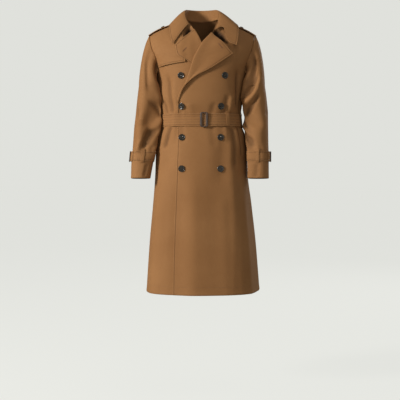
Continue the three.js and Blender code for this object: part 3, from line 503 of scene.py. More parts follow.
class Patch:
    """Outer points of a piece in a grid of rows and columns, in mm, with its normals, and how far
    each point is from each border. A ring's last column repeats its first."""

    def __init__(self, points, outward, ring=False):
        self.points, self.ring = points, ring
        self.aim(outward)
        u, v = (
            np.insert(np.cumsum(np.linalg.norm(np.diff(points, axis=way), axis=-1), way), 0, 0, way)
            for way in (1, 0)
        )
        self.away = {"u0": u, "u1": u[:, -1:] - u, "v0": v, "v1": v[-1:] - v}
        self.uv = np.stack([u - u[:, -1:] / 2, v], -1)
        self.edge = np.full(u.shape, NO_EDGE)
        # deep: painted shade from 0 to 1, which darkens the cloth's colour in hollows and creases.
        self.deep = np.zeros(u.shape)

    def aim(self, outward):
        grid = self.points
        wrapped = np.concatenate([grid[:, -2:-1], grid, grid[:, 1:2]], 1) if self.ring else grid
        across = np.gradient(wrapped, axis=1)
        across = across[:, 1:-1] if self.ring else across
        normals = unit(np.cross(across, np.gradient(grid, axis=0)))
        self.normals = normals * np.sign(np.sum(normals * outward))

    def press(self, depth):
        """Moves each point out along its normal, by its own depth."""
        self.points = self.points + self.normals * depth[..., None]
        self.aim(self.normals)

    def turned(self, *borders, inset=STITCH_IN):
        """A turned edge with a row of topstitching: rounded, full, and drawn in at the row."""
        for border in borders:
            away = self.away[border]
            along = self.away["v0" if border[0] == "u" else "u0"]
            pucker = np.sin(along * 0.62 + 1.7 * np.sin(along / 31)) * bump(away - inset, PUCKER_WIDE)
            swell = relief(away, (FULL, inset / 2, inset / 3), (-FULL, 0, 1.2))
            self.press(swell - GROOVE * bump(away - inset, GROOVE_WIDE) + PUCKER * pucker)
            self.edge = np.minimum(self.edge, away)

    def seamed(self, *borders):
        """A border that sinks into the seam it is sewn into."""
        for border in borders:
            self.press(relief(self.away[border], *SEAM_RELIEF))

    def line(self, border, inset, skip=(0, 0)):
        """Points and normals of the line a distance inside a border, less a length at each end."""
        grid, away = np.concatenate([self.points, self.normals], -1), self.away[border]
        if border[0] == "v":
            grid, away = np.swapaxes(grid, 0, 1), away.T
        found = []
        for row, far in zip(grid, away):
            order = np.argsort(far)
            found.append([np.interp(inset, far[order], values) for values in row[order].T])
        found = np.array(found)
        gone = lengths(found[:, :3])
        return found[(gone >= skip[0]) & (gone <= gone[-1] - skip[1])]

    def stitch(self, group, borders, inset=STITCH_IN, skip=(0, 0)):
        """Adds a row of stitches inside each of the borders, whose names are parted by spaces."""
        for border in borders.split():
            sew(group, self.line(border, inset, skip))


def add_object(name, data):
    thing = bpy.data.objects.new(name, data)
    bpy.context.scene.collection.objects.link(thing)
    return thing


def add_piece(mesh, material, nodes=()):
    """A smooth piece of the coat, in the stead of its CAD nodes."""
    mesh.polygons.foreach_set("use_smooth", np.ones(len(mesh.polygons), bool))
    mesh.materials.append(material)
    piece = add_object(mesh.name, mesh)
    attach(piece, "root")
    if nodes:
        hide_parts(*nodes)
    return piece


def mesh_of(name, vertices, faces):
    """A mesh from points in millimetres."""
    mesh = bpy.data.meshes.new(name)
    mesh.from_pydata((np.asarray(vertices) * MM).tolist(), [], faces)
    return mesh


def woven_mesh(name, vertices, quads, uvs, fields):
    """A mesh of quads, from millimetres, with its UV map and a value a vertex per field."""
    mesh = bpy.data.meshes.new(name)
    mesh.vertices.add(len(vertices))
    mesh.vertices.foreach_set("co", (vertices * MM).ravel())
    mesh.loops.add(quads.size)
    mesh.loops.foreach_set("vertex_index", quads.ravel().astype(np.int32))
    mesh.polygons.add(len(quads))
    mesh.polygons.foreach_set("loop_start", np.arange(0, quads.size, 4, dtype=np.int32))
    mesh.uv_layers.new(name="cloth").data.foreach_set("uv", (uvs / UV_MM).ravel())
    for field, values in fields.items():
        mesh.attributes.new(field, "FLOAT", "POINT").data.foreach_set("value", values)
    mesh.update(calc_edges=True)
    mesh.validate()
    return mesh


def border_loops(rows, columns, ring):
    """Grid places along each border of a patch, the first repeated at the end."""
    if ring:
        return [[(row, k) for k in range(columns)] for row in (0, rows - 1)]
    loop = [(0, k) for k in range(columns)] + [(row, columns - 1) for row in range(1, rows)]
    loop += [(rows - 1, k) for k in range(columns - 2, -1, -1)]
    return [loop + [(row, 0) for row in range(rows - 2, -1, -1)]]


def shell(name, patch, thick=WALL):
    """A piece of cloth: the patch, an inner face below it, and a rounded rim between them."""
    outer, inner, ring = patch.points, patch.points - patch.normals * thick, patch.ring
    rows, columns = outer.shape[:2]
    across = columns - 1 if ring else columns
    count = rows * across

    def vertex(j, i):
        return j * across + i % across

    j, i = np.meshgrid(np.arange(rows - 1), np.arange(columns - 1), indexing="ij")
    corners = [(j, i), (j, i + 1), (j + 1, i + 1), (j + 1, i)]
    facing = np.cross(outer[0, 1] - outer[0, 0], outer[1, 0] - outer[0, 0]) @ patch.normals[0, 0] > 0
    way = 1 if facing else -1
    quads = np.stack([vertex(*c) for c in corners], -1).reshape(-1, 4)[:, ::way]
    uvs = np.stack([patch.uv[c] for c in corners], -2).reshape(-1, 4, 2)[:, ::way]
    faces, face_uvs = [quads, quads[:, ::-1] + count], [uvs, uvs[:, ::-1]]
    rims, spots, base = [], [], 2 * count
    for number, loop in enumerate(border_loops(rows, columns, ring)):
        at = np.array(loop)
        near = np.clip(at, 1, np.array([rows, columns]) - 2)
        if ring:
            near[:, 1] = at[:, 1]
        spot = tuple(at.T)
        beyond = unit(outer[spot] - outer[tuple(near.T)])
        rims.append(((outer[spot] + inner[spot]) / 2 + beyond * thick * RIM)[:-1])
        spots.append(at[:-1])
        step = np.arange(len(at) - 1)
        out, mid = vertex(*spot), base + np.append(step, 0)
        uv = np.stack([patch.uv[spot][step + side] for side in (0, 0, 1, 1)], -2)
        way = 1 if facing == (number == 0) else -1
        for strip in (
            (out[:-1], mid[:-1], mid[1:], out[1:]),
            (mid[:-1], out[:-1] + count, out[1:] + count, mid[1:]),
        ):
            faces.append(np.stack(strip, -1)[:, ::way])
            face_uvs.append(uv[:, ::way])
        base += len(step)
    rim_spots = tuple(np.concatenate(spots).T)

    def field(values):
        flat = values[:, :across].ravel()
        return np.concatenate([flat, flat, values[rim_spots]])

    inside = np.repeat([0.0, 1.0, 0.3], [count, count, base - 2 * count])
    points = [grid[:, :across].reshape(-1, 3) for grid in (outer, inner)] + rims
    fields = {"edge": field(patch.edge), "inside": inside, "deep": field(patch.deep)}
    mesh = woven_mesh(f"{name}_cloth", *map(np.concatenate, (points, faces, face_uvs)), fields)
    piece = add_piece(mesh, CLOTH, ["back_body" if name == "back" else name])


# ---- sewing
STITCH = {"pitch": 3.3, "long": 2.6, "radius": 0.3, "sink": 0.12}
FULL_FROM, TIP_SINK = 0.55, 1.5      # of a thread: shares of its half length and of its radius
PURL = {"pitch": 0.9, "long": 1.7, "radius": 0.62, "sink": -0.1}
SIDES = [(1, 2), (2, 3), (3, 4), (4, 1)]     # of a thread's first ring, between its two tips
THREAD_FACES = (
    [(0, b, a) for a, b in SIDES] + [(a, b, b + 4, a + 4) for a, b in SIDES]
    + [(9, a + 4, b + 4) for a, b in SIDES]
)


def stitch_piece(group, material, kind=STITCH):
    """All the stitches of a group, as one mesh of small threads that dip into the cloth."""
    half, radius = kind["long"] / 2, kind["radius"]
    threads = []
    for line in sewing[group]:
        gone = lengths(line[:, :3])
        places = np.arange(kind["pitch"] / 2, gone[-1], kind["pitch"])
        at, ahead, back = (
            np.stack([np.interp(places + shift, gone, values) for values in line.T], -1)
            for shift in (0, 0.5, -0.5)
        )
        along, normal = unit((ahead - back)[:, :3]), unit(at[:, 3:])
        side = unit(np.cross(normal, along))
        centre = at[:, :3] + normal * kind["sink"]
        ring = [side * radius, normal * radius, -side * radius, -normal * radius]
        tips = [centre + along * half * s - normal * radius * TIP_SINK for s in (-1, 1)]
        rings = [[centre + along * half * FULL_FROM * s + r for r in ring] for s in (-1, 1)]
        threads.append(np.stack([tips[0], *rings[0], *rings[1], tips[1]], 1))
    vertices = np.concatenate(threads).reshape(-1, 3)
    starts = range(0, len(vertices), 10)
    faces = [tuple(start + corner for corner in face) for start in starts for face in THREAD_FACES]
    add_piece(mesh_of(group, vertices, faces), material)


# ---- materials
class Graph:
    """A material's nodes, round one Principled shader."""

    def __init__(self, name):
        self.material = bpy.data.materials.new(name)
        self.material.use_nodes = True
        self.tree = self.material.node_tree
        self.tree.nodes.clear()
        self.shader = self.add("BsdfPrincipled")
        self.add("OutputMaterial", Surface=self.shader.outputs["BSDF"])
        self.spot = self.add("TexCoord").outputs["Object"]

    def add(self, kind, settings=(), **inputs):
        """Adds a node. An input's name has _ for each space, or is i and its number."""
        node = self.tree.nodes.new(f"ShaderNode{kind}")
        for key, value in dict(settings).items():
            setattr(node, key, value)
        self.set(node, **inputs)
        return node

    def set(self, node, **inputs):
        for key, value in inputs.items():
            numbered = key[0] == "i" and key[1:].isdigit()
            socket = node.inputs[int(key[1:]) if numbered else key.replace("_", " ")]
            if isinstance(value, bpy.types.NodeSocket):
                self.tree.links.new(value, socket)
            else:
                socket.default_value = value

    def math(self, operation, a, b=0.0):
        return self.add("Math", {"operation": operation}, i0=a, i1=b).outputs[0]

    def total(self, *terms):
        """The sum of values, each with its weight."""
        parts = [self.math("MULTIPLY", value, weight) for value, weight in terms]
        whole = parts[0]
        for part in parts[1:]:
            whole = self.math("ADD", whole, part)
        return whole

    def mapped(self, value, low, high, to_low=0.0, to_high=1.0):
        return self.add("MapRange", {"interpolation_type": "SMOOTHSTEP"}, Value=value, From_Min=low,
                        From_Max=high, To_Min=to_low, To_Max=to_high).outputs["Result"]

    def blend(self, factor, a, b):
        return self.add("Mix", {"data_type": "RGBA"}, i0=factor, i6=a, i7=b).outputs[2]

    def noise(self, vector, scale, detail=2.0, rough=0.5):
        return self.add("TexNoise", Vector=vector, Scale=scale, Detail=detail,
                        Roughness=rough).outputs["Fac"]

    def mapping(self, vector, **inputs):
        return self.add("Mapping", Vector=vector, **inputs).outputs["Vector"]

    def field(self, name):
        return self.add("Attribute", {"attribute_name": name}).outputs["Fac"]

    def bump(self, height, distance, strength):
        node = self.add("Bump", Height=height, Distance=distance, Strength=strength)
        self.set(self.shader, Normal=node.outputs["Normal"])


COTTON_DARK, COTTON_LIGHT = (0.232, 0.1015, 0.0335, 1), (0.38, 0.187, 0.0725, 1)
# The rubbed tone is the worn edges' own colour; the groove tone is painted shade along the rows of
# topstitching.
COTTON_RUBBED, COTTON_GROOVE_SHADE = (0.47, 0.27, 0.125, 1), (0.11, 0.05, 0.02, 1)
COTTON_INSIDE, COTTON_SHADED = (0.1, 0.05, 0.024, 1), (0.01, 0.005, 0.003, 1)
COTTON_SHEEN = (1, 0.68, 0.4, 1)
HORN_DARK, HORN_LIGHT, HORN_STREAK = (
    (0.012, 0.009, 0.006, 1), (0.055, 0.043, 0.029, 1), (0.07, 0.058, 0.042, 1)
)
LEATHER_DARK, LEATHER_LIGHT, LEATHER_RUBBED = (
    (0.034, 0.018, 0.011, 1), (0.075, 0.04, 0.023, 1), (0.2, 0.115, 0.065, 1)
)


def gabardine():
    """Cotton gabardine: a steep fine twill, uneven yarns, and worn, lighter edges, with painted shade
    along the rows of topstitching and in hollows and creases.
    """
    g = Graph("gabardine")
    flat = g.add("UVMap", {"uv_map": "cloth"}).outputs["UV"]
    twill = g.add("TexWave", {"bands_direction": "DIAGONAL"}, Vector=g.mapping(flat, Scale=(100, 62, 1)),
                  Scale=0.56, Distortion=1.2, Detail=1.0, Detail_Scale=0.35).outputs["Fac"]
    slub = g.noise(g.mapping(flat, Scale=(150, 9, 1)), 1.0, 3.0)
    cloud = g.noise(g.spot, 5.0, 3.0, 0.6)
    speck = g.noise(g.spot, 260.0, 1.0)
    edge = g.field("edge")
    share = g.total((twill, 0.34), (slub, 0.3), (cloud, 0.34), (speck, 0.14))
    colour = g.blend(g.mapped(share, 0.28, 0.86), COTTON_DARK, COTTON_LIGHT)
    rub = g.math("MULTIPLY", g.mapped(edge, 0.0, 3.2, 1.0, 0.0), g.mapped(cloud, 0.35, 0.6, 0.25, 0.8))
    # Painted shade: the colour darkens along each row of topstitching, where the groove's shade would
    # fall.
    drawn = g.math("ABSOLUTE", g.math("SUBTRACT", edge, STITCH_IN))
    for factor, tint in (
        (g.math("MULTIPLY", rub, 0.3), COTTON_RUBBED),
        (g.mapped(drawn, 0.0, 2.4, 0.42, 0.0), COTTON_GROOVE_SHADE),
        (g.math("MULTIPLY", g.field("inside"), 0.25), COTTON_INSIDE),
        # Painted shade in the hollows below the collar's ends and in the narrow creases.
        (g.math("MULTIPLY", g.field("deep"), 0.95), COTTON_SHADED),
    ):
        colour = g.blend(factor, colour, tint)
    g.set(g.shader, Base_Color=colour, Sheen_Weight=0.07, Sheen_Roughness=0.4,
          Sheen_Tint=COTTON_SHEEN, Specular_IOR_Level=0.14,
          Roughness=g.mapped(slub, 0.3, 0.7, 0.66, 0.8))
    g.bump(g.total((twill, 0.6), (slub, 0.5)), 0.00022, 0.5)
    return g.material


def polyester_thread(name, colour):
    """Twisted sewing thread."""
    g = Graph(name)
    twist = g.add("TexWave", {"bands_direction": "DIAGONAL"}, Vector=g.spot, Scale=500.0).outputs["Fac"]
    shade = g.blend(twist, (*(c * 0.75 for c in colour), 1), (*colour, 1))
    g.set(g.shader, Base_Color=shade, Roughness=0.55, Sheen_Weight=0.1)
    g.bump(twist, 0.0001, 0.4)
    return g.material


def leather():
    """Leather over a buckle's frame: fine grain, and edges rubbed lighter."""
    g = Graph("buckle_leather")
    grain = g.add("TexVoronoi", {"feature": "DISTANCE_TO_EDGE"}, Vector=g.spot, Scale=900.0)
    cells = g.mapped(grain.outputs["Distance"], 0.0, 0.12)
    cloud = g.noise(g.spot, 90.0, 3.0, 0.6)
    edge = g.add("NewGeometry").outputs["Pointiness"]
    colour = g.blend(g.mapped(cloud, 0.3, 0.7), LEATHER_DARK, LEATHER_LIGHT)
    colour = g.blend(g.mapped(edge, 0.5, 0.62, 0.0, 0.5), colour, LEATHER_RUBBED)
    g.set(g.shader, Base_Color=colour, Roughness=g.mapped(cloud, 0.3, 0.7, 0.36, 0.5),
          Specular_IOR_Level=0.5, Coat_Weight=0.12, Coat_Roughness=0.3)
    g.bump(g.math("ADD", cells, g.math("MULTIPLY", cloud, 0.5)), 0.00012, 0.5)
    return g.material


def horn():
    """Polished dark horn, with smoky grey-green streaks."""
    g = Graph("button_horn")
    stretched = g.mapping(g.spot, Scale=(1.0, 1.0, 3.2), Rotation=(0.3, 0.5, 0.4))
    smoke = g.noise(stretched, 85.0, 5.0, 0.62)
    streak = g.noise(stretched, 260.0, 2.0, 0.5)
    colour = g.blend(g.mapped(smoke, 0.44, 0.68), HORN_DARK, HORN_LIGHT)
    colour = g.blend(g.mapped(streak, 0.5, 0.75, 0.0, 0.35), colour, HORN_STREAK)
    g.set(g.shader, Base_Color=colour, Roughness=g.mapped(streak, 0.3, 0.7, 0.16, 0.28),
          Specular_IOR_Level=0.5, Coat_Weight=0.4, Coat_Roughness=0.08)
    g.bump(streak, 0.00008, 0.3)
    return g.material


CLOTH = gabardine()
THREAD = polyester_thread("sewing_thread", (0.23, 0.115, 0.048))
PURL_THREAD = polyester_thread("buttonhole_thread", (0.16, 0.062, 0.026))
BUTTON_THREAD = polyester_thread("button_thread", (0.05, 0.035, 0.022))
LEATHER = leather()
HORN = horn()


# ---- the body's panels
GRID = 4.6                      # mm between grid lines on the panels
# Below each end of the collar the fronts fall away: place, reach and depth of each hollow.
NOTCH_HOLLOWS = [
    (-58, -62, 13, 22), (-72, -77, 8, 7), (58, -66, 14, 24), (73, -80, 13, 24), (86, -94, 10, 15),
    (98, -106, 8, 7),
]
HOLLOW_SHADED = 12              # a hollow this deep is fully shaded
FRONT_SHADE, BACK_SHADE = 0.4, 0.1
HEM_TURN = 32.0                 # the hem's blind stitching, above its edge
HEM_RELIEF = [(0.5, 6, 5.0), (-0.7, 0, 1.6), (-0.35, HEM_TURN, 1.6)]
FRONT_EDGE_RELIEF = [(0.35, 3, 2), (-0.5, 0, 1.2), (-1.1, STITCH_IN, 1.6)]
MIDDLE_SEAM_RELIEF = [(0.35, 4, 2.6), (-1.0, 0, 1.8)]
# The panels' rows: by height up to the underarm, then by their share of the way up the armhole.
low_rows = HEM_Z + stops(UNDERARM_Z - HEM_Z, 5.4, True, False) * (UNDERARM_Z - HEM_Z)
high_rows = stops(200, GRID, False, True)[1:]
ROW_Z = np.append(low_rows, np.full(len(high_rows), UNDERARM_Z))[:, None]
ROW_T = np.append(np.zeros(len(low_rows)), high_rows)[:, None]


def body_patch(degrees, z, out):
    return Patch(body_point(degrees, z, out), smooth_normal(degrees, z))


def hollowed(patch):
    """Lets a patch fall away, and shades it, below each end of the collar."""
    hollow = 0.0
    for x, z, wide, depth in NOTCH_HOLLOWS:
        away = np.hypot(patch.points[..., 0] - x, patch.points[..., 2] - z)
        hollow = hollow + depth * bump(away, wide)
    patch.press(-hollow)
    patch.deep = np.clip(hollow / HOLLOW_SHADED, 0, 1)


def front_patch(side, edge, out):
    degrees, z = front_place(side, edge, stops(300, GRID)[None, :], ROW_Z, ROW_T)
    patch = body_patch(degrees, z, out(degrees, z) + WALL)
    hollowed(patch)
    creased = crease_shade(BODY_CREASES, NARROW_ON_BODY, FRONT_SHADE, degrees, z)
    patch.deep = np.maximum(patch.deep, creased)
    patch.seamed("u0", "v1")
    return patch


def hemmed(name, patch):
    """A panel with its hem turned up inside and caught down: a fold with a faint line above it."""
    patch.press(relief(patch.away["v0"], *HEM_RELIEF))
    shell(name, patch)
    patch.stitch("hem_stitching", "v0", HEM_TURN)


hemmed("front_right", front_patch(-1, right_edge, lambda degrees, z: 0.0))
left_front = front_patch(1, left_edge, over_right)
below_break = np.where(ROW_Z < BREAK_Z, 1.0, 0.0)
edge_away = left_front.away["u1"]
left_front.press(below_break * relief(edge_away, *FRONT_EDGE_RELIEF))
left_front.edge = np.where(below_break > 0, edge_away, NO_EDGE)
hemmed("front_left", left_front)
front_line = left_front.line("u1", STITCH_IN)
sew("front_stitching", front_line[front_line[:, 2] < BREAK_Z - 6])

back_degrees, back_z = back_place(stops(520, GRID)[None, :], ROW_Z, ROW_T)
back = body_patch(back_degrees, back_z, WALL)
back.deep = crease_shade(BODY_CREASES, NARROW_ON_BODY, BACK_SHADE, back_degrees, back_z)
back.seamed("u0", "u1", "v1")
back.press(relief(np.abs(back.away["u0"] - back.away["u1"]) / 2, *MIDDLE_SEAM_RELIEF))
hemmed("back", back)

# ---- lapels and storm flap
ON_RIGHT = WALL + LAYER_GAP
ON_FLAP = ON_RIGHT + WALL + LAYER_GAP
LAPEL_SWELL = 1.2
LAPEL_LIFT = 6.5                # how far a lapel's free edge stands off the front
WRAP = np.linspace(np.pi, 0, 11)[:-1]      # the turn of the cloth round a roll


def lapel_patch(roll, edge, top_z, out, under, rise, free):
    """A lapel, from under its front's edge, round the soft roll and out to its own edge."""
    v = stops(290, 4.4)[:, None]
    u = stops(130, 4.0, False, True)[None, :]
    root_z = mix(top_z, BREAK_Z - 2, v)
    root_x = column(roll, "x", root_z)
    far_x, far_z = column(edge, "x", v, "s"), column(edge, "z", v, "s")
    x, z = mix(root_x, far_x, u), mix(root_z, far_z, u)
    width = np.hypot(far_x - root_x, far_z - root_z)
    swell = LAPEL_SWELL * np.sin(np.pi * u) + rise(root_z) * bump(u * width, 18)
    # It comes loose towards its outer edge, and along its top.
    loose = np.maximum(ease(0.45, 1, u), ease(0.22, 0, v) * ease(0.1, 0.5, u))
    swell = swell + LAPEL_LIFT * loose * free(x, z)
    top = body_at(x, z, out(x, z) + swell + WALL)
    high, low = (out(root_x, root_z) + rise(root_z) + WALL)[:, 0], under(root_x, root_z)[:, 0]
    middle, half = (high + low) / 2, (high - low) / 2
    beyond = unit(top[:, 0] - top[:, 1])
    wrap = [
        body_at(root_x[:, 0], root_z[:, 0], middle + half * np.cos(turn))
        + beyond * (half * np.sin(turn))[:, None]
        for turn in WRAP
    ]
    normal = smooth_normal(angle_of(x, z), z)
    return Patch(np.concatenate([np.stack(wrap, 1), top], axis=1),
                 np.concatenate([np.zeros((len(v), len(WRAP), 3)), normal], axis=1))


def on_left(x, z):
    return over_right(angle_of(x, z), z)


lapels = {
    "right": lapel_patch(
        ROLL_RIGHT, LAPEL_EDGE_RIGHT, top_z=-58,
        out=lambda x, z: mix(ON_RIGHT, ON_FLAP, ease(-24, -56, x)),
        under=lambda x, z: 0 * x,
        rise=lambda z: 2.6 * ease(-112, -92, z),
        free=lambda x, z: 0.7 * ease(-52, -84, x),
    ),
    "left": lapel_patch(
        ROLL_LEFT, LAPEL_EDGE_LEFT, top_z=-74,
        out=lambda x, z: on_left(x, z) + WALL + 2 * LAYER_GAP,
        under=on_left,
        rise=lambda z: 3.2 * ease(BREAK_Z, BREAK_Z + 70, z),
        free=lambda x, z: ease(BREAK_Z + 8, BREAK_Z + 60, z),
    ),
}
for (hand, lapel), foot in zip(lapels.items(), (60, 20)):
    lapel.turned("u1", "v0")
    shell(f"lapel_{hand}", lapel)
    lapel.stitch("front_stitching", "u1", skip=(4, foot))
    lapel.stitch("front_stitching", "v0", skip=(14, 6))

# The storm flap lies on the right front's own rows, from a slanting row up to the shoulder.
FLAP_ARM, FLAP_FOOT, FLAP_TOP, FLAP_LIFT = 0.03, 0.68, 0.8, 4.5
flap_v, flap_u = stops(150, 4.2)[:, None], stops(190, 4.2)[None, :]
flap_across = mix(FLAP_ARM, mix(FLAP_FOOT, FLAP_TOP, flap_v), flap_u)
flap_t = mix(mix(0.265, 0.235, flap_u), 1.0, flap_v)
flap_degrees, flap_z = front_place(-1, right_edge, flap_across, UNDERARM_Z, flap_t)
flap_lift = FLAP_LIFT * ease(0.2, 0, flap_v) * ease(0, 0.25, flap_u)
flap = body_patch(flap_degrees, flap_z, ON_RIGHT + WALL + flap_lift)
hollowed(flap)
flap.turned("v0", "u1")
flap.seamed("u0", "v1")
shell("storm_flap", flap)
flap.stitch("front_stitching", "v0", skip=(2, 6))

BUTTONHOLE_HALF, BUTTONHOLE_HEIGHT = 1.5, 0.35


def buttonhole(patch, x, z, lean, length):
    """A worked buttonhole: a closed row of thread round a slit, on the patch near x and z."""
    flat = np.concatenate([patch.points, patch.normals], -1).reshape(-1, 6)
    turn = np.linspace(0, 2 * np.pi, 49)
    along = length / 2 * power(np.cos(turn), 0.8)
    across = BUTTONHOLE_HALF * power(np.sin(turn), 0.8)
    sin, cos = sin_cos(lean)
    found = []
    for px, pz in zip(x + along * cos - across * sin, z + along * sin + across * cos):
        away = np.hypot(flat[:, 0] - px, flat[:, 2] - pz)
        near = np.argsort(away)[:6]
        # The cloth's turned-under side, which faces the other way, is left out.
        near = near[flat[near, 4] < flat[near, 4].min() + 1.5]
        weight = (1 / (away[near] + 0.05))[:, None]
        mean = (flat[near] * weight).sum(0) / weight.sum()
        found.append([px, mean[1] + mean[4] * BUTTONHOLE_HEIGHT, pz, *mean[3:]])
    sew("buttonholes", np.array(found))


buttonhole(lapels["left"], 72, -128, -52, 26)
buttonhole(lapels["right"], -72, -142, 48, 22)

# ---- collar
COLLAR_SWELL = 4.5
ROLL_RADIUS = 2.15
STAND_FROM, STAND_TO, STAND_FOOT_Z = 0.09, 0.87, -3.6
STAND_IN, STAND_DOWN, STAND_HOLLOW = 4.3, 2.4, 1.5
STAND_FOOT = [0.97, 0.86, 1.0]       # the foot's share of the roll's distance from the middle


def collar_point(s, kind):
    return np.stack([column(COLLAR, f"{kind}_{axis}", s, "s") for axis in "xyz"], -1)


collar_s = stops(560, 4.2)[None, :]
collar_v = stops(95, 3.6, False, True)[:, None]
# The left front edge is cut hollow near the roll, and full towards the point.
hollow_edge = 0.018 + 0.05 * bump(collar_v - 0.24, 0.2) - 0.018 * bump(collar_v - 0.72, 0.22)
fall_s, fall_v = np.broadcast_arrays(collar_s - ease(0.84, 1, collar_s) * hollow_edge, collar_v)
fall_roll = collar_point(fall_s, "roll")
swell = unit(unit(fall_roll * [1, 1, 0]) + [0, 0, 1.1])
crown = COLLAR_SWELL * np.sin(np.pi * fall_v ** 0.62)
fall_top = mix(fall_roll, collar_point(fall_s, "edge"), fall_v[..., None]) + swell * crown[..., None]
fall_normal = unit(np.cross(np.gradient(fall_top, axis=0), np.gradient(fall_top, axis=1)))
fall_normal *= np.sign(np.sum(fall_normal[..., 2]))
rising = unit(fall_top[0] - fall_top[1])
wrap = [
    fall_top[0] + ROLL_RADIUS * (fall_normal[0] * (np.cos(turn) - 1) + rising * np.sin(turn))
    for turn in WRAP
]
fall = Patch(np.concatenate([np.stack(wrap), fall_top]),
             np.concatenate([np.zeros((len(WRAP),) + fall_normal.shape[1:]), fall_normal]))
fall.turned("v1", "u0", "u1")
shell("collar_fall", fall)
fall.stitch("collar_stitching", "v1", skip=(7, 7))
fall.stitch("collar_stitching", "u0 u1", skip=(12, 6))

stand_s, stand_v = np.broadcast_arrays(
    mix(STAND_FROM, STAND_TO, stops(400, 4.4)[None, :]), stops(46, 3.6, False, False)[:, None]
)
stand_roll = collar_point(stand_s, "roll")
inward = unit(stand_roll * [-1, -1, 0])
stand_top = stand_roll + inward * STAND_IN
stand_top[..., 2] = stand_roll[..., 2] - STAND_DOWN
stand_foot = stand_roll * STAND_FOOT + inward * 2
stand_foot[..., 2] = np.minimum(STAND_FOOT_Z, stand_roll[..., 2] - 9)
hollow = STAND_HOLLOW * np.sin(np.pi * stand_v)
stand_points = mix(stand_foot, stand_top, stand_v[..., None]) - inward * hollow[..., None]
shell("collar_stand", Patch(stand_points, inward))

# ---- sleeves
HANDS = {-1: "right", 1: "left"}
SEAM_ALLOWANCE = [8.0, 4.5, 1.0]
CUFF_STITCH_IN = 28
CUFF_RELIEF = [(0.4, 5, 4), (-0.6, 0, 1.5), (-0.4, CUFF_STITCH_IN, 1.6)]
HEAD_RELIEF = [(0.4, 16, 3.5)]
LOOP_TURN = {"right": 92, "left": 98}      # of the front loop, in degrees round the sleeve


def bridge(place, start, end, foot, top, width=11):
    """A narrow loop over a strap: rounded shoulders, with its two ends down on the cloth."""
    at = np.linspace(start - LOOP_RISE - 4, end + LOOP_RISE + 4, 44)[:, None]
    across = stops(width, 1.2, False, False)[None, :]
    rise = ease(start - LOOP_RISE, start - 0.8, at) * (1 - ease(end + 0.8, end + LOOP_RISE, at))
    crown = 0.25 * np.sin(np.pi * across)
    return place(across, at, mix(foot, top, rise) + LOOP_WALL + crown)


def loop_piece(name, points, normal, group, inset):
    loop = Patch(points, np.broadcast_to(normal, points.shape))
    shell(name, loop, LOOP_WALL)
    loop.stitch(group, "u0 u1", inset, (3, 3))


def seam_allowance(side, turn):
    """Rows of the sleeve head that lie under the panels, in from the armhole's edge."""
    place, normal = armhole_edge(side, turn)
    ahead, back = (armhole_edge(side, turn + step)[0] for step in (1, -1))
    inward = unit(np.cross(normal, ahead - back)) * side
    deep = normal * (WALL + 0.9)
    return [place + inward * far - deep for far in SEAM_ALLOWANCE], [normal] * len(SEAM_ALLOWANCE)


for side, hand in HANDS.items():
    turn = np.linspace(0, 360, 133)[None, :]
    head = stops(210, 4.8, True, False) - 1
    tube_down = stops(SLEEVE_LENGTH, 4.8, False, True) * SLEEVE_LENGTH
    down = np.append(head[:-1], tube_down)[:, None]
    tucked, tucked_normals = seam_allowance(side, turn)
    sleeve = Patch(np.concatenate([*tucked, sleeve_point(side, turn, down, 0)]),
                   np.concatenate([*tucked_normals, sleeve_normal(side, turn, down)]), ring=True)
    most = mix(0.12, 0.42, ease(200, 160, turn) * ease(-20, 20, turn))
    height = sleeve_plain(side, turn, down)[..., 2]
    shade = crease_shade(SLEEVE_CREASES[side], NARROW_ON_SLEEVE, most, turn, height)
    sleeve.deep = np.concatenate([np.zeros((len(tucked), shade.shape[1])), shade])
    sleeve.press(relief(sleeve.away["v0"], *HEAD_RELIEF))
    sleeve.press(relief(sleeve.away["v1"], *CUFF_RELIEF))
    shell(f"sleeve_{hand}", sleeve)
    sleeve.stitch("sleeve_stitching", "v1", CUFF_STITCH_IN)

    gone = STRAP_LAPS * stops(560, 4.0)[None, :]
    strap_down = mix(STRAP_FROM, STRAP_TO, stops(STRAP_TO - STRAP_FROM, 3.6)[:, None])
    lift = STRAP_GAP + STRAP_LIFT * ease(290, 350, gone) + STRAP_WALL
    strap = Patch(sleeve_point(side, STRAP_START + gone, strap_down, lift),
                  sleeve_normal(side, STRAP_START + gone, strap_down))
    strap.turned("v0", "v1", "u1", inset=STRAP_STITCH_IN)
    shell(f"sleeve_strap_{hand}", strap, STRAP_WALL)
    strap.stitch("sleeve_stitching", "v0 v1", STRAP_STITCH_IN, (3, 5))

    for name, middle in (("front", LOOP_TURN[hand]), ("back", 262)):
        def on_sleeve(across, at, out):
            return sleeve_point(side, middle + 7 * (2 * across - 1), at, out)

        points = bridge(on_sleeve, STRAP_FROM, STRAP_TO, 0.5, STRAP_GAP + STRAP_WALL + 0.6)
        normal = sleeve_normal(side, middle, (STRAP_FROM + STRAP_TO) / 2)
        loop_piece(f"strap_loop_{name}_{hand}", points, normal, "sleeve_stitching", 1.8)

# ---- belt
BELT_TOP, BELT_FOOT = BELT_Z + BELT_HEIGHT / 2, BELT_Z - BELT_HEIGHT / 2
BELT_ROWS = [5, 16, 27, 38, 49]      # rows of stitching along the belt, from its lower edge
BELT_END_FROM, BELT_END_TO = 2.0, 62.0
BELT_LOOPS = {"right": -76.0, "left": 80.0}      # degrees round the body
KEEPER_X, KEEPER_WIDE, KEEPER_PAST, KEEPER_WALL, KEEPER_LIFT = 93.0, 12.0, 1.4, 1.5, 1.6
# The keeper's ends: how far past the belt's edge, and how high on it, from the inside out.
KEEPER_END = [(-1, 0.3), (-1, 3.0), (-1, 5.0), (-0.6, 6.4), (-0.2, 6.9)]


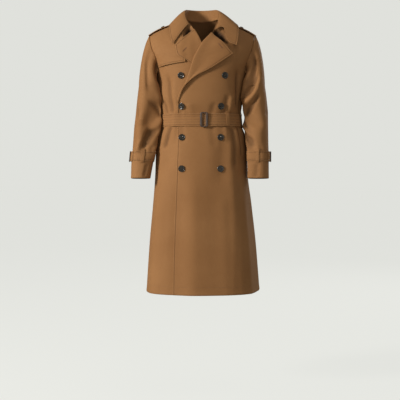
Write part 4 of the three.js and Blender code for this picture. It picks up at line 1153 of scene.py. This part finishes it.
def belt_out(degrees):
    """How far out the belt's inner side lies: further where the fronts lie in two layers."""
    x = smooth_point(degrees, BELT_Z)[..., 0]
    over = ease(-132, -106, x) * (1 - ease(118, 150, x))
    return WALL + BELT_GAP + (WALL + 1.6) * np.where(sin_cos(degrees)[1] > 0, over, 0)


def belt_layer(degrees, layer):
    return belt_out(degrees) + layer * (BELT_WALL + 0.5)


def belt_point(degrees, v, out):
    foot, top = (body_point(degrees, z, out) for z in (BELT_FOOT, BELT_TOP))
    return mix(foot, top, v[..., None])


def belt_patch(degrees, layer, ring):
    degrees, v = np.broadcast_arrays(degrees[None, :], stops(BELT_HEIGHT, 3.0)[:, None])
    points = belt_point(degrees, v, belt_layer(degrees, layer) + BELT_WALL)
    patch = Patch(points, smooth_normal(degrees, BELT_Z), ring)
    patch.turned("v0", "v1", inset=BELT_ROWS[0])
    for row in BELT_ROWS[1:-1]:
        away = patch.away["v0"] - row
        wave = np.sin(patch.away["u0"] * 0.7 + row) * bump(away, 3.5)
        patch.press(-GROOVE * bump(away, GROOVE_WIDE) + 0.15 * wave)
        patch.edge = np.minimum(patch.edge, STITCH_IN + np.abs(away))
    return patch


belt = belt_patch(np.linspace(0, 360, 331), 0, True)
shell("belt", belt, BELT_WALL)
belt_end = belt_patch(mix(angle_of(BELT_END_FROM, BELT_Z), BELT_END_TO, stops(170, 4.0)), 1, False)
belt_end.turned("u1")
shell("belt_end", belt_end, BELT_WALL)
for row in BELT_ROWS:
    belt.stitch("belt_stitching", "v0", row)
    belt_end.stitch("belt_stitching", "v0", row, (0, 8))

for hand, middle in BELT_LOOPS.items():
    def on_body(across, at, out):
        return body_point(middle + 2.6 * (2 * across - 1), at, out)

    points = bridge(on_body, BELT_FOOT, BELT_TOP, WALL + 0.5, belt_layer(middle, 1), 15)
    loop_piece(f"belt_loop_{hand}", points, smooth_normal(middle, BELT_Z), "belt_stitching", 2.2)

keeper_rows = [(0, past * KEEPER_PAST, height) for past, height in KEEPER_END]
keeper_rows += [(k / 12, 0, 6.95) for k in range(1, 12)]
keeper_rows += [(1, -past * KEEPER_PAST, height) for past, height in reversed(KEEPER_END)]
keeper_x = KEEPER_X + KEEPER_WIDE * (stops(KEEPER_WIDE, 1.1, False, False) - 0.5)
keeper_angle = angle_of(keeper_x, BELT_Z)
keeper_points = np.stack([
    belt_point(keeper_angle, np.array([share + past / BELT_HEIGHT]),
               belt_layer(keeper_angle, 0) + height + KEEPER_LIFT)
    for share, past, height in keeper_rows
])
shell("belt_keeper", Patch(keeper_points, smooth_normal(keeper_angle, BELT_Z)), KEEPER_WALL)

# ---- shoulder straps
EPAULETTE_FROM, EPAULETTE_TO, EPAULETTE_HALF, EPAULETTE_WALL = 106.0, 219.0, 24.0, 2.4
EPAULETTE_BUTTON_X = 160.0
EPAULETTE_BEND, EPAULETTE_RISE = 1.2, 1.4
RIDGE_HALF_DEPTH, RIDGE_FALL = 130.0, 0.3      # of the shoulder, and how it falls beyond its tip


def ridge_point(x, y, out):
    drop = SHOULDER_ROUND * (1 - np.sqrt(1 - (y / RIDGE_HALF_DEPTH) ** 2))
    beyond = np.maximum(0, np.abs(x) - TIP_X)
    slope = math.atan2(NECK_Z - TIP_Z, TIP_X - NECK_X)
    z = shoulder_z(x) - drop - beyond * RIDGE_FALL
    return point(x + np.sign(x) * out * math.sin(slope), y, z + out * math.cos(slope))


def epaulette_out(side):
    return WALL + 0.8 + (WALL + LAYER_GAP if side < 0 else 0)


for side, hand in HANDS.items():
    u, v = stops(120, 3.6)[None, :], stops(2 * EPAULETTE_HALF, 3.2)[:, None]
    taper = mix(0.86, 1, u) - 0.5 * ease(0.1, 0, u)
    y = EPAULETTE_HALF * taper * (2 * v - 1)
    x = side * mix(EPAULETTE_FROM, EPAULETTE_TO, u)
    # The rear half lies straight on the back, and both edges bend down to the cloth.
    spare = (epaulette_out(side) - epaulette_out(1)) * ease(-2, 9, y)
    out = epaulette_out(side) + EPAULETTE_RISE * u + EPAULETTE_WALL - spare
    out = out - EPAULETTE_BEND * (y / EPAULETTE_HALF) ** 2
    strap = Patch(ridge_point(*np.broadcast_arrays(x, y, out)), np.array([0, 0, 1.0]))
    strap.turned("v0", "v1", "u0", inset=STRAP_STITCH_IN)
    shell(f"epaulette_{hand}", strap, EPAULETTE_WALL)
    strap.stitch("sleeve_stitching", "v0 v1 u0", STRAP_STITCH_IN, (5, 5))

stitch_piece("buttonholes", PURL_THREAD, PURL)
for group in ("front", "hem", "collar", "sleeve", "belt"):
    stitch_piece(f"{group}_stitching", THREAD)

# ---- buttons
BUTTON_RADIUS, BUTTON_HEIGHT, BUTTON_SIDES = 13.5, 4.0, 64
SMALL_RADIUS, SMALL_HEIGHT = 8.0, 3.0
RIM_SHARE, DISH = 0.19, 1.15    # a button's rim, as a share of its radius, and its dish's depth
HOLE_SHARE, HOLE_DEEP = 0.17, 2.1
HOLE_RADII = (0.85, 1.25)       # at the bottom and the top of a hole
THREAD_RADIUS, SHANK_RADIUS = 0.34, 1.5
# A thread's way from hole to hole: how far across, in gaps, and how high from the rim's top.
THREAD_PATH = [(-1, -2.6), (-0.9, -1.0), (0, -0.62), (0.9, -1.0), (1, -2.6)]


def standing(place, normal):
    """The transform that stands +Z along a normal at a place in mm, with +Y near to upright."""
    normal = Vector(normal).normalized()
    right = Vector((0, 0, 1)).cross(normal).normalized()
    turn = Matrix((right, normal.cross(right), normal)).transposed().to_4x4()
    return Matrix.Translation(Vector(place) * MM) @ turn


def ring_faces(rings, sides, closed=False):
    """Faces that join each ring of vertices to the next, and the last to the first if closed."""
    faces = []
    for ring in range(rings if closed else rings - 1):
        start, after = ring * sides, (ring + 1) % rings * sides
        for k in range(sides):
            turn = (k + 1) % sides
            faces.append((start + k, after + k, after + turn, start + turn))
    return faces


def around(sides):
    turn = np.arange(sides) * 2 * np.pi / sides
    return np.stack([np.cos(turn), np.sin(turn)], -1)


def button_form(radius, height, holes):
    """A four-hole button: rounded rim, dished middle, and holes sunk deep into it."""
    rim, circle = radius * RIM_SHARE, around(BUTTON_SIDES)
    radii = np.concatenate([
        np.linspace(0, radius - rim - 1.2, max(14, int(radius * 2.6)))[1:],
        radius - rim + np.array([-0.8, -0.4, 0, 0.5, 1.0, 1.5]),
        radius - rim * np.array([0.28, 0.12, 0.04, 0.0]),
    ])
    rings = []
    for r in radii:
        dish = DISH * (1 - ease(radius - rim - 1.4, radius - rim + 0.6, r))
        over = max(0.0, r - (radius - rim * 0.45)) / (rim * 0.45)
        deep = sum(1 - ease(*HOLE_RADII, np.hypot(*(r * circle - hole).T)) for hole in holes)
        top = height - dish - 1.3 * over ** 2.4 - HOLE_DEEP * np.minimum(1, deep)
        rings.append(np.column_stack([r * circle, top]))
    for r, z in ((radius, 1.4), (radius - 0.5, 0.6), (radius - 1.8, 0.1), (radius * 0.5, 0.0)):
        rings.append(np.column_stack([r * circle, np.full(BUTTON_SIDES, z)]))
    middle = len(rings) * BUTTON_SIDES
    last = middle - BUTTON_SIDES
    pairs = [(k, (k + 1) % BUTTON_SIDES) for k in range(BUTTON_SIDES)]
    faces = [(middle, a, b) for a, b in pairs] + ring_faces(len(rings), BUTTON_SIDES)
    faces += [(middle + 1, last + b, last + a) for a, b in pairs]
    return np.concatenate([*rings, [(0, 0, height - DISH), (0, 0, 0)]]), faces


def tube(path, radius, sides=8):
    """A round tube along a path of points."""
    path = np.array(path, float)
    rings = []
    for k, spot in enumerate(path):
        along = unit(path[min(k + 1, len(path) - 1)] - path[max(k - 1, 0)])
        side = unit(np.cross(along, [0, 0, 1.0] if abs(along[2]) < 0.9 else [0, 1.0, 0]))
        rings.append(spot + radius * around(sides) @ np.stack([side, np.cross(side, along)]))
    faces = [face[::-1] for face in ring_faces(len(path), sides)]
    ends = range(sides), range((len(path) - 1) * sides, len(path) * sides)
    return np.concatenate(rings), faces + [tuple(ends[0])[::-1], tuple(ends[1])]


def button(node, radius, height, place, normal, shank, roll):
    """A horn button on its node, the threads in its holes, and the shank of thread behind it."""
    gap = radius * HOLE_SHARE
    holes = [(gap, gap), (-gap, gap), (-gap, -gap), (gap, -gap)]
    spin = standing(place, normal) @ Matrix.Rotation(roll, 4, "Z")
    form = mesh_of(f"{node}_horn", *button_form(radius, height, holes))
    tubes = [
        tube([(x * gap, y * gap, height + z) for y, z in THREAD_PATH], THREAD_RADIUS)
        for x in (-1.18, -0.88, 0.88, 1.18)
    ]
    vertices, faces = np.zeros((0, 3)), []
    for more, sides in tubes + [tube([(0, 0, 0.4), (0, 0, -shank)], SHANK_RADIUS)]:
        faces += [tuple(len(vertices) + corner for corner in face) for face in sides]
        vertices = np.concatenate([vertices, more])
    thread = mesh_of(f"{node}_horn_thread", vertices, faces)
    for mesh in (form, thread):
        mesh.transform(spin)
    add_piece(form, HORN, [node])
    add_piece(thread, BUTTON_THREAD)


for row, (z, thread) in enumerate(zip(BUTTON_ROWS["z"], BUTTON_ROWS["thread"])):
    for side, hand in HANDS.items():
        degrees = angle_of(side * BUTTON_ROWS[hand][row], z)
        under = 0.0 if side < 0 and row == 0 else over_right(degrees, z)
        across = body_point(degrees + 2, z, 0.0) - body_point(degrees - 2, z, 0.0)
        upright = body_point(degrees, z + 8, 0.0) - body_point(degrees, z - 8, 0.0)
        button(f"button_{row + 1}_{hand}", BUTTON_RADIUS, BUTTON_HEIGHT,
               body_point(degrees, z, under + WALL + thread), np.cross(across, upright),
               thread + 0.5, 0.3 + 1.1 * row + 0.7 * side)
for side, hand in HANDS.items():
    top = epaulette_out(side) + EPAULETTE_WALL + EPAULETTE_RISE
    base, low, high = (ridge_point(side * EPAULETTE_BUTTON_X, 0.0, out) for out in (top, 0, 1))
    button(f"epaulette_button_{hand}", SMALL_RADIUS, SMALL_HEIGHT, base, high - low, 1.4, 0.4 * side)

# ---- buckles
BUCKLE_CORNER, BUCKLE_SECTION = 4.2, 18
BUCKLE_WIDE_SQUARE, BUCKLE_DEEP_SQUARE = 2.8, 2.4
BUCKLE_ROW = 0.22               # the stitches, inside a bar's middle, as a share of its width
# Width, height, width of the side bars and of the others, and depth.
SLEEVE_BUCKLE, BELT_BUCKLE = (28.0, 44.0, 5.0, 5.0, 3.6), (33.0, 60.0, 10.0, 5.5, 5.0)
BELT_BUCKLE_X = 5.0


def rounded_path(width, height, corner, step=1.6):
    """Points round a rectangle with rounded corners, about a step apart along its sides."""
    w, h = width / 2 - corner, height / 2 - corner
    found = []
    for cx, cy, start in ((w, h, 0), (-w, h, 90), (-w, -h, 180), (w, -h, 270)):
        for k in range(7):
            sin, cos = sin_cos(start + 15 * k)
            found.append(np.array([cx + corner * cos, cy + corner * sin]))
    whole = []
    for a, b in zip(found, found[1:] + found[:1]):
        count = max(1, int(math.dist(a, b) / step))
        whole += [mix(a, b, k / count) for k in range(count)]
    return np.array(whole)


def buckle(node, width, height, side_bar, bar, deep, place, normal):
    """A leather-covered frame with a padded face, and a row of stitches round it."""
    path = rounded_path(width - side_bar, height - bar, BUCKLE_CORNER)
    along = unit(np.roll(path, -1, axis=0) - np.roll(path, 1, axis=0))
    out = np.stack([along[:, 1], -along[:, 0]], -1)
    cos, sin = around(BUCKLE_SECTION).T
    across = 0.5 * power(cos, 2 / BUCKLE_WIDE_SQUARE)
    groove = np.where(sin > 1e-9, 0.35 * bump(across + BUCKLE_ROW, 0.09), 0)
    level = deep / 2 + deep / 2 * power(sin, 2 / BUCKLE_DEEP_SQUARE) - groove
    bars = mix(bar, side_bar, np.abs(out[:, 0]) ** 2)[:, None]
    flat = path[:, None] + out[:, None] * (across * bars)[..., None]
    points = point(flat[..., 0], flat[..., 1], level).reshape(-1, 3)
    mesh = mesh_of(f"{node}_leather", points, ring_faces(len(path), BUCKLE_SECTION, closed=True))
    mesh.transform(standing(place, normal))
    add_piece(mesh, LEATHER, [node])
    inner = path - out * bars * BUCKLE_ROW
    turn = np.array(standing((0, 0, 0), normal).to_3x3())
    line = point(inner[:, 0], inner[:, 1], deep - 0.3) @ turn.T + np.array(place)
    line = np.concatenate([line, np.broadcast_to(turn[:, 2], line.shape)], 1)
    sew("buckle_stitching", np.concatenate([line, line[:1]]))


for side, hand in HANDS.items():
    middle = (STRAP_FROM + STRAP_TO) / 2
    out = STRAP_GAP + STRAP_LIFT + STRAP_WALL + 0.6
    buckle(f"sleeve_buckle_{hand}", *SLEEVE_BUCKLE,
           sleeve_point(side, 0.0, middle, out), sleeve_normal(side, 0.0, middle))
buckle_angle = angle_of(BELT_BUCKLE_X, BELT_Z)
buckle_place = belt_point(buckle_angle, np.array(0.5), belt_layer(buckle_angle, 2) + 0.35)
buckle("belt_buckle", *BELT_BUCKLE, buckle_place, smooth_normal(buckle_angle, BELT_Z))
stitch_piece("buckle_stitching", THREAD)

# ---- studio
FLOOR_Z, FLOOR_RADIUS = -1.53, 40.0
FLOOR_DARK, FLOOR_LIGHT = (0.095, 0.095, 0.092, 1), (0.105, 0.105, 0.1, 1)
PAPER = (0.745, 0.753, 0.715, 1)
FLOOR_GLOW = (0.3, 0.976)       # on the coat, and as the camera sees it
WORLD_GLOW = (0.24, 1.0)
WARM, SOFT = (1.0, 0.985, 0.95), (1.0, 0.99, 0.97)
LIGHTS = {                      # place, height aimed at, size, watts and colour
    "key": ((-3.85, -2.3, 0.95), -0.55, 0.9, 222, WARM),
    "top": ((0.9, -0.9, 2.6), -0.3, 1.6, 9, SOFT),
    "fill": ((0.9, -4.6, 0.1), -0.6, 2.4, 27, SOFT),
    "back": ((2.6, 3.6, 1.2), -0.6, 1.6, 60, SOFT),
}


def floor():
    """A pale round floor, wide enough to run on into the pale world round it."""
    mesh = bpy.data.meshes.new("studio_floor")
    vertices = [(x, y, FLOOR_Z) for x, y in FLOOR_RADIUS * around(96)]
    mesh.from_pydata(vertices, [], [tuple(range(96))])
    g = Graph("studio_paper")
    tone = g.blend(g.noise(g.spot, 0.6, 2.0), FLOOR_DARK, FLOOR_LIGHT)
    seen = g.add("LightPath").outputs["Is Camera Ray"]
    g.set(g.shader, Base_Color=tone, Roughness=0.9, Specular_IOR_Level=0.0, Emission_Color=PAPER,
          Emission_Strength=g.mapped(seen, 0.0, 1.0, *FLOOR_GLOW))
    mesh.materials.append(g.material)
    add_object("studio_floor", mesh)


floor()
for name, (place, aim_z, size, watts, colour) in LIGHTS.items():
    light = bpy.data.lights.new(name, "AREA")
    light.shape, light.size, light.energy, light.color = "SQUARE", size, watts, colour
    lamp = add_object(name, light)
    lamp.location = place
    lamp.visible_camera = False
    aim = Vector((0, 0, aim_z)) - Vector(place)
    lamp.rotation_euler = aim.to_track_quat("-Z", "Y").to_euler()

world = bpy.data.worlds.new("studio")
world.use_nodes = True
nodes, links = world.node_tree.nodes, world.node_tree.links
sky, shown = nodes["Background"], nodes.new("ShaderNodeMapRange")
sky.inputs["Color"].default_value = PAPER
shown.inputs["To Min"].default_value, shown.inputs["To Max"].default_value = WORLD_GLOW
links.new(nodes.new("ShaderNodeLightPath").outputs["Is Camera Ray"], shown.inputs["Value"])
links.new(shown.outputs["Result"], sky.inputs["Strength"])
scene = bpy.context.scene
scene.world = world
scene.view_settings.view_transform = "Standard"
scene.view_settings.look = "None"

camera = bpy.data.cameras.new("camera")
camera.lens, camera.sensor_width, camera.shift_y = 85.0, 36.0, -0.075
scene.camera = add_object("camera", camera)
scene.camera.location = (-0.0103, -3.91, -0.625)
scene.camera.rotation_euler = (math.radians(90), 0, 0)
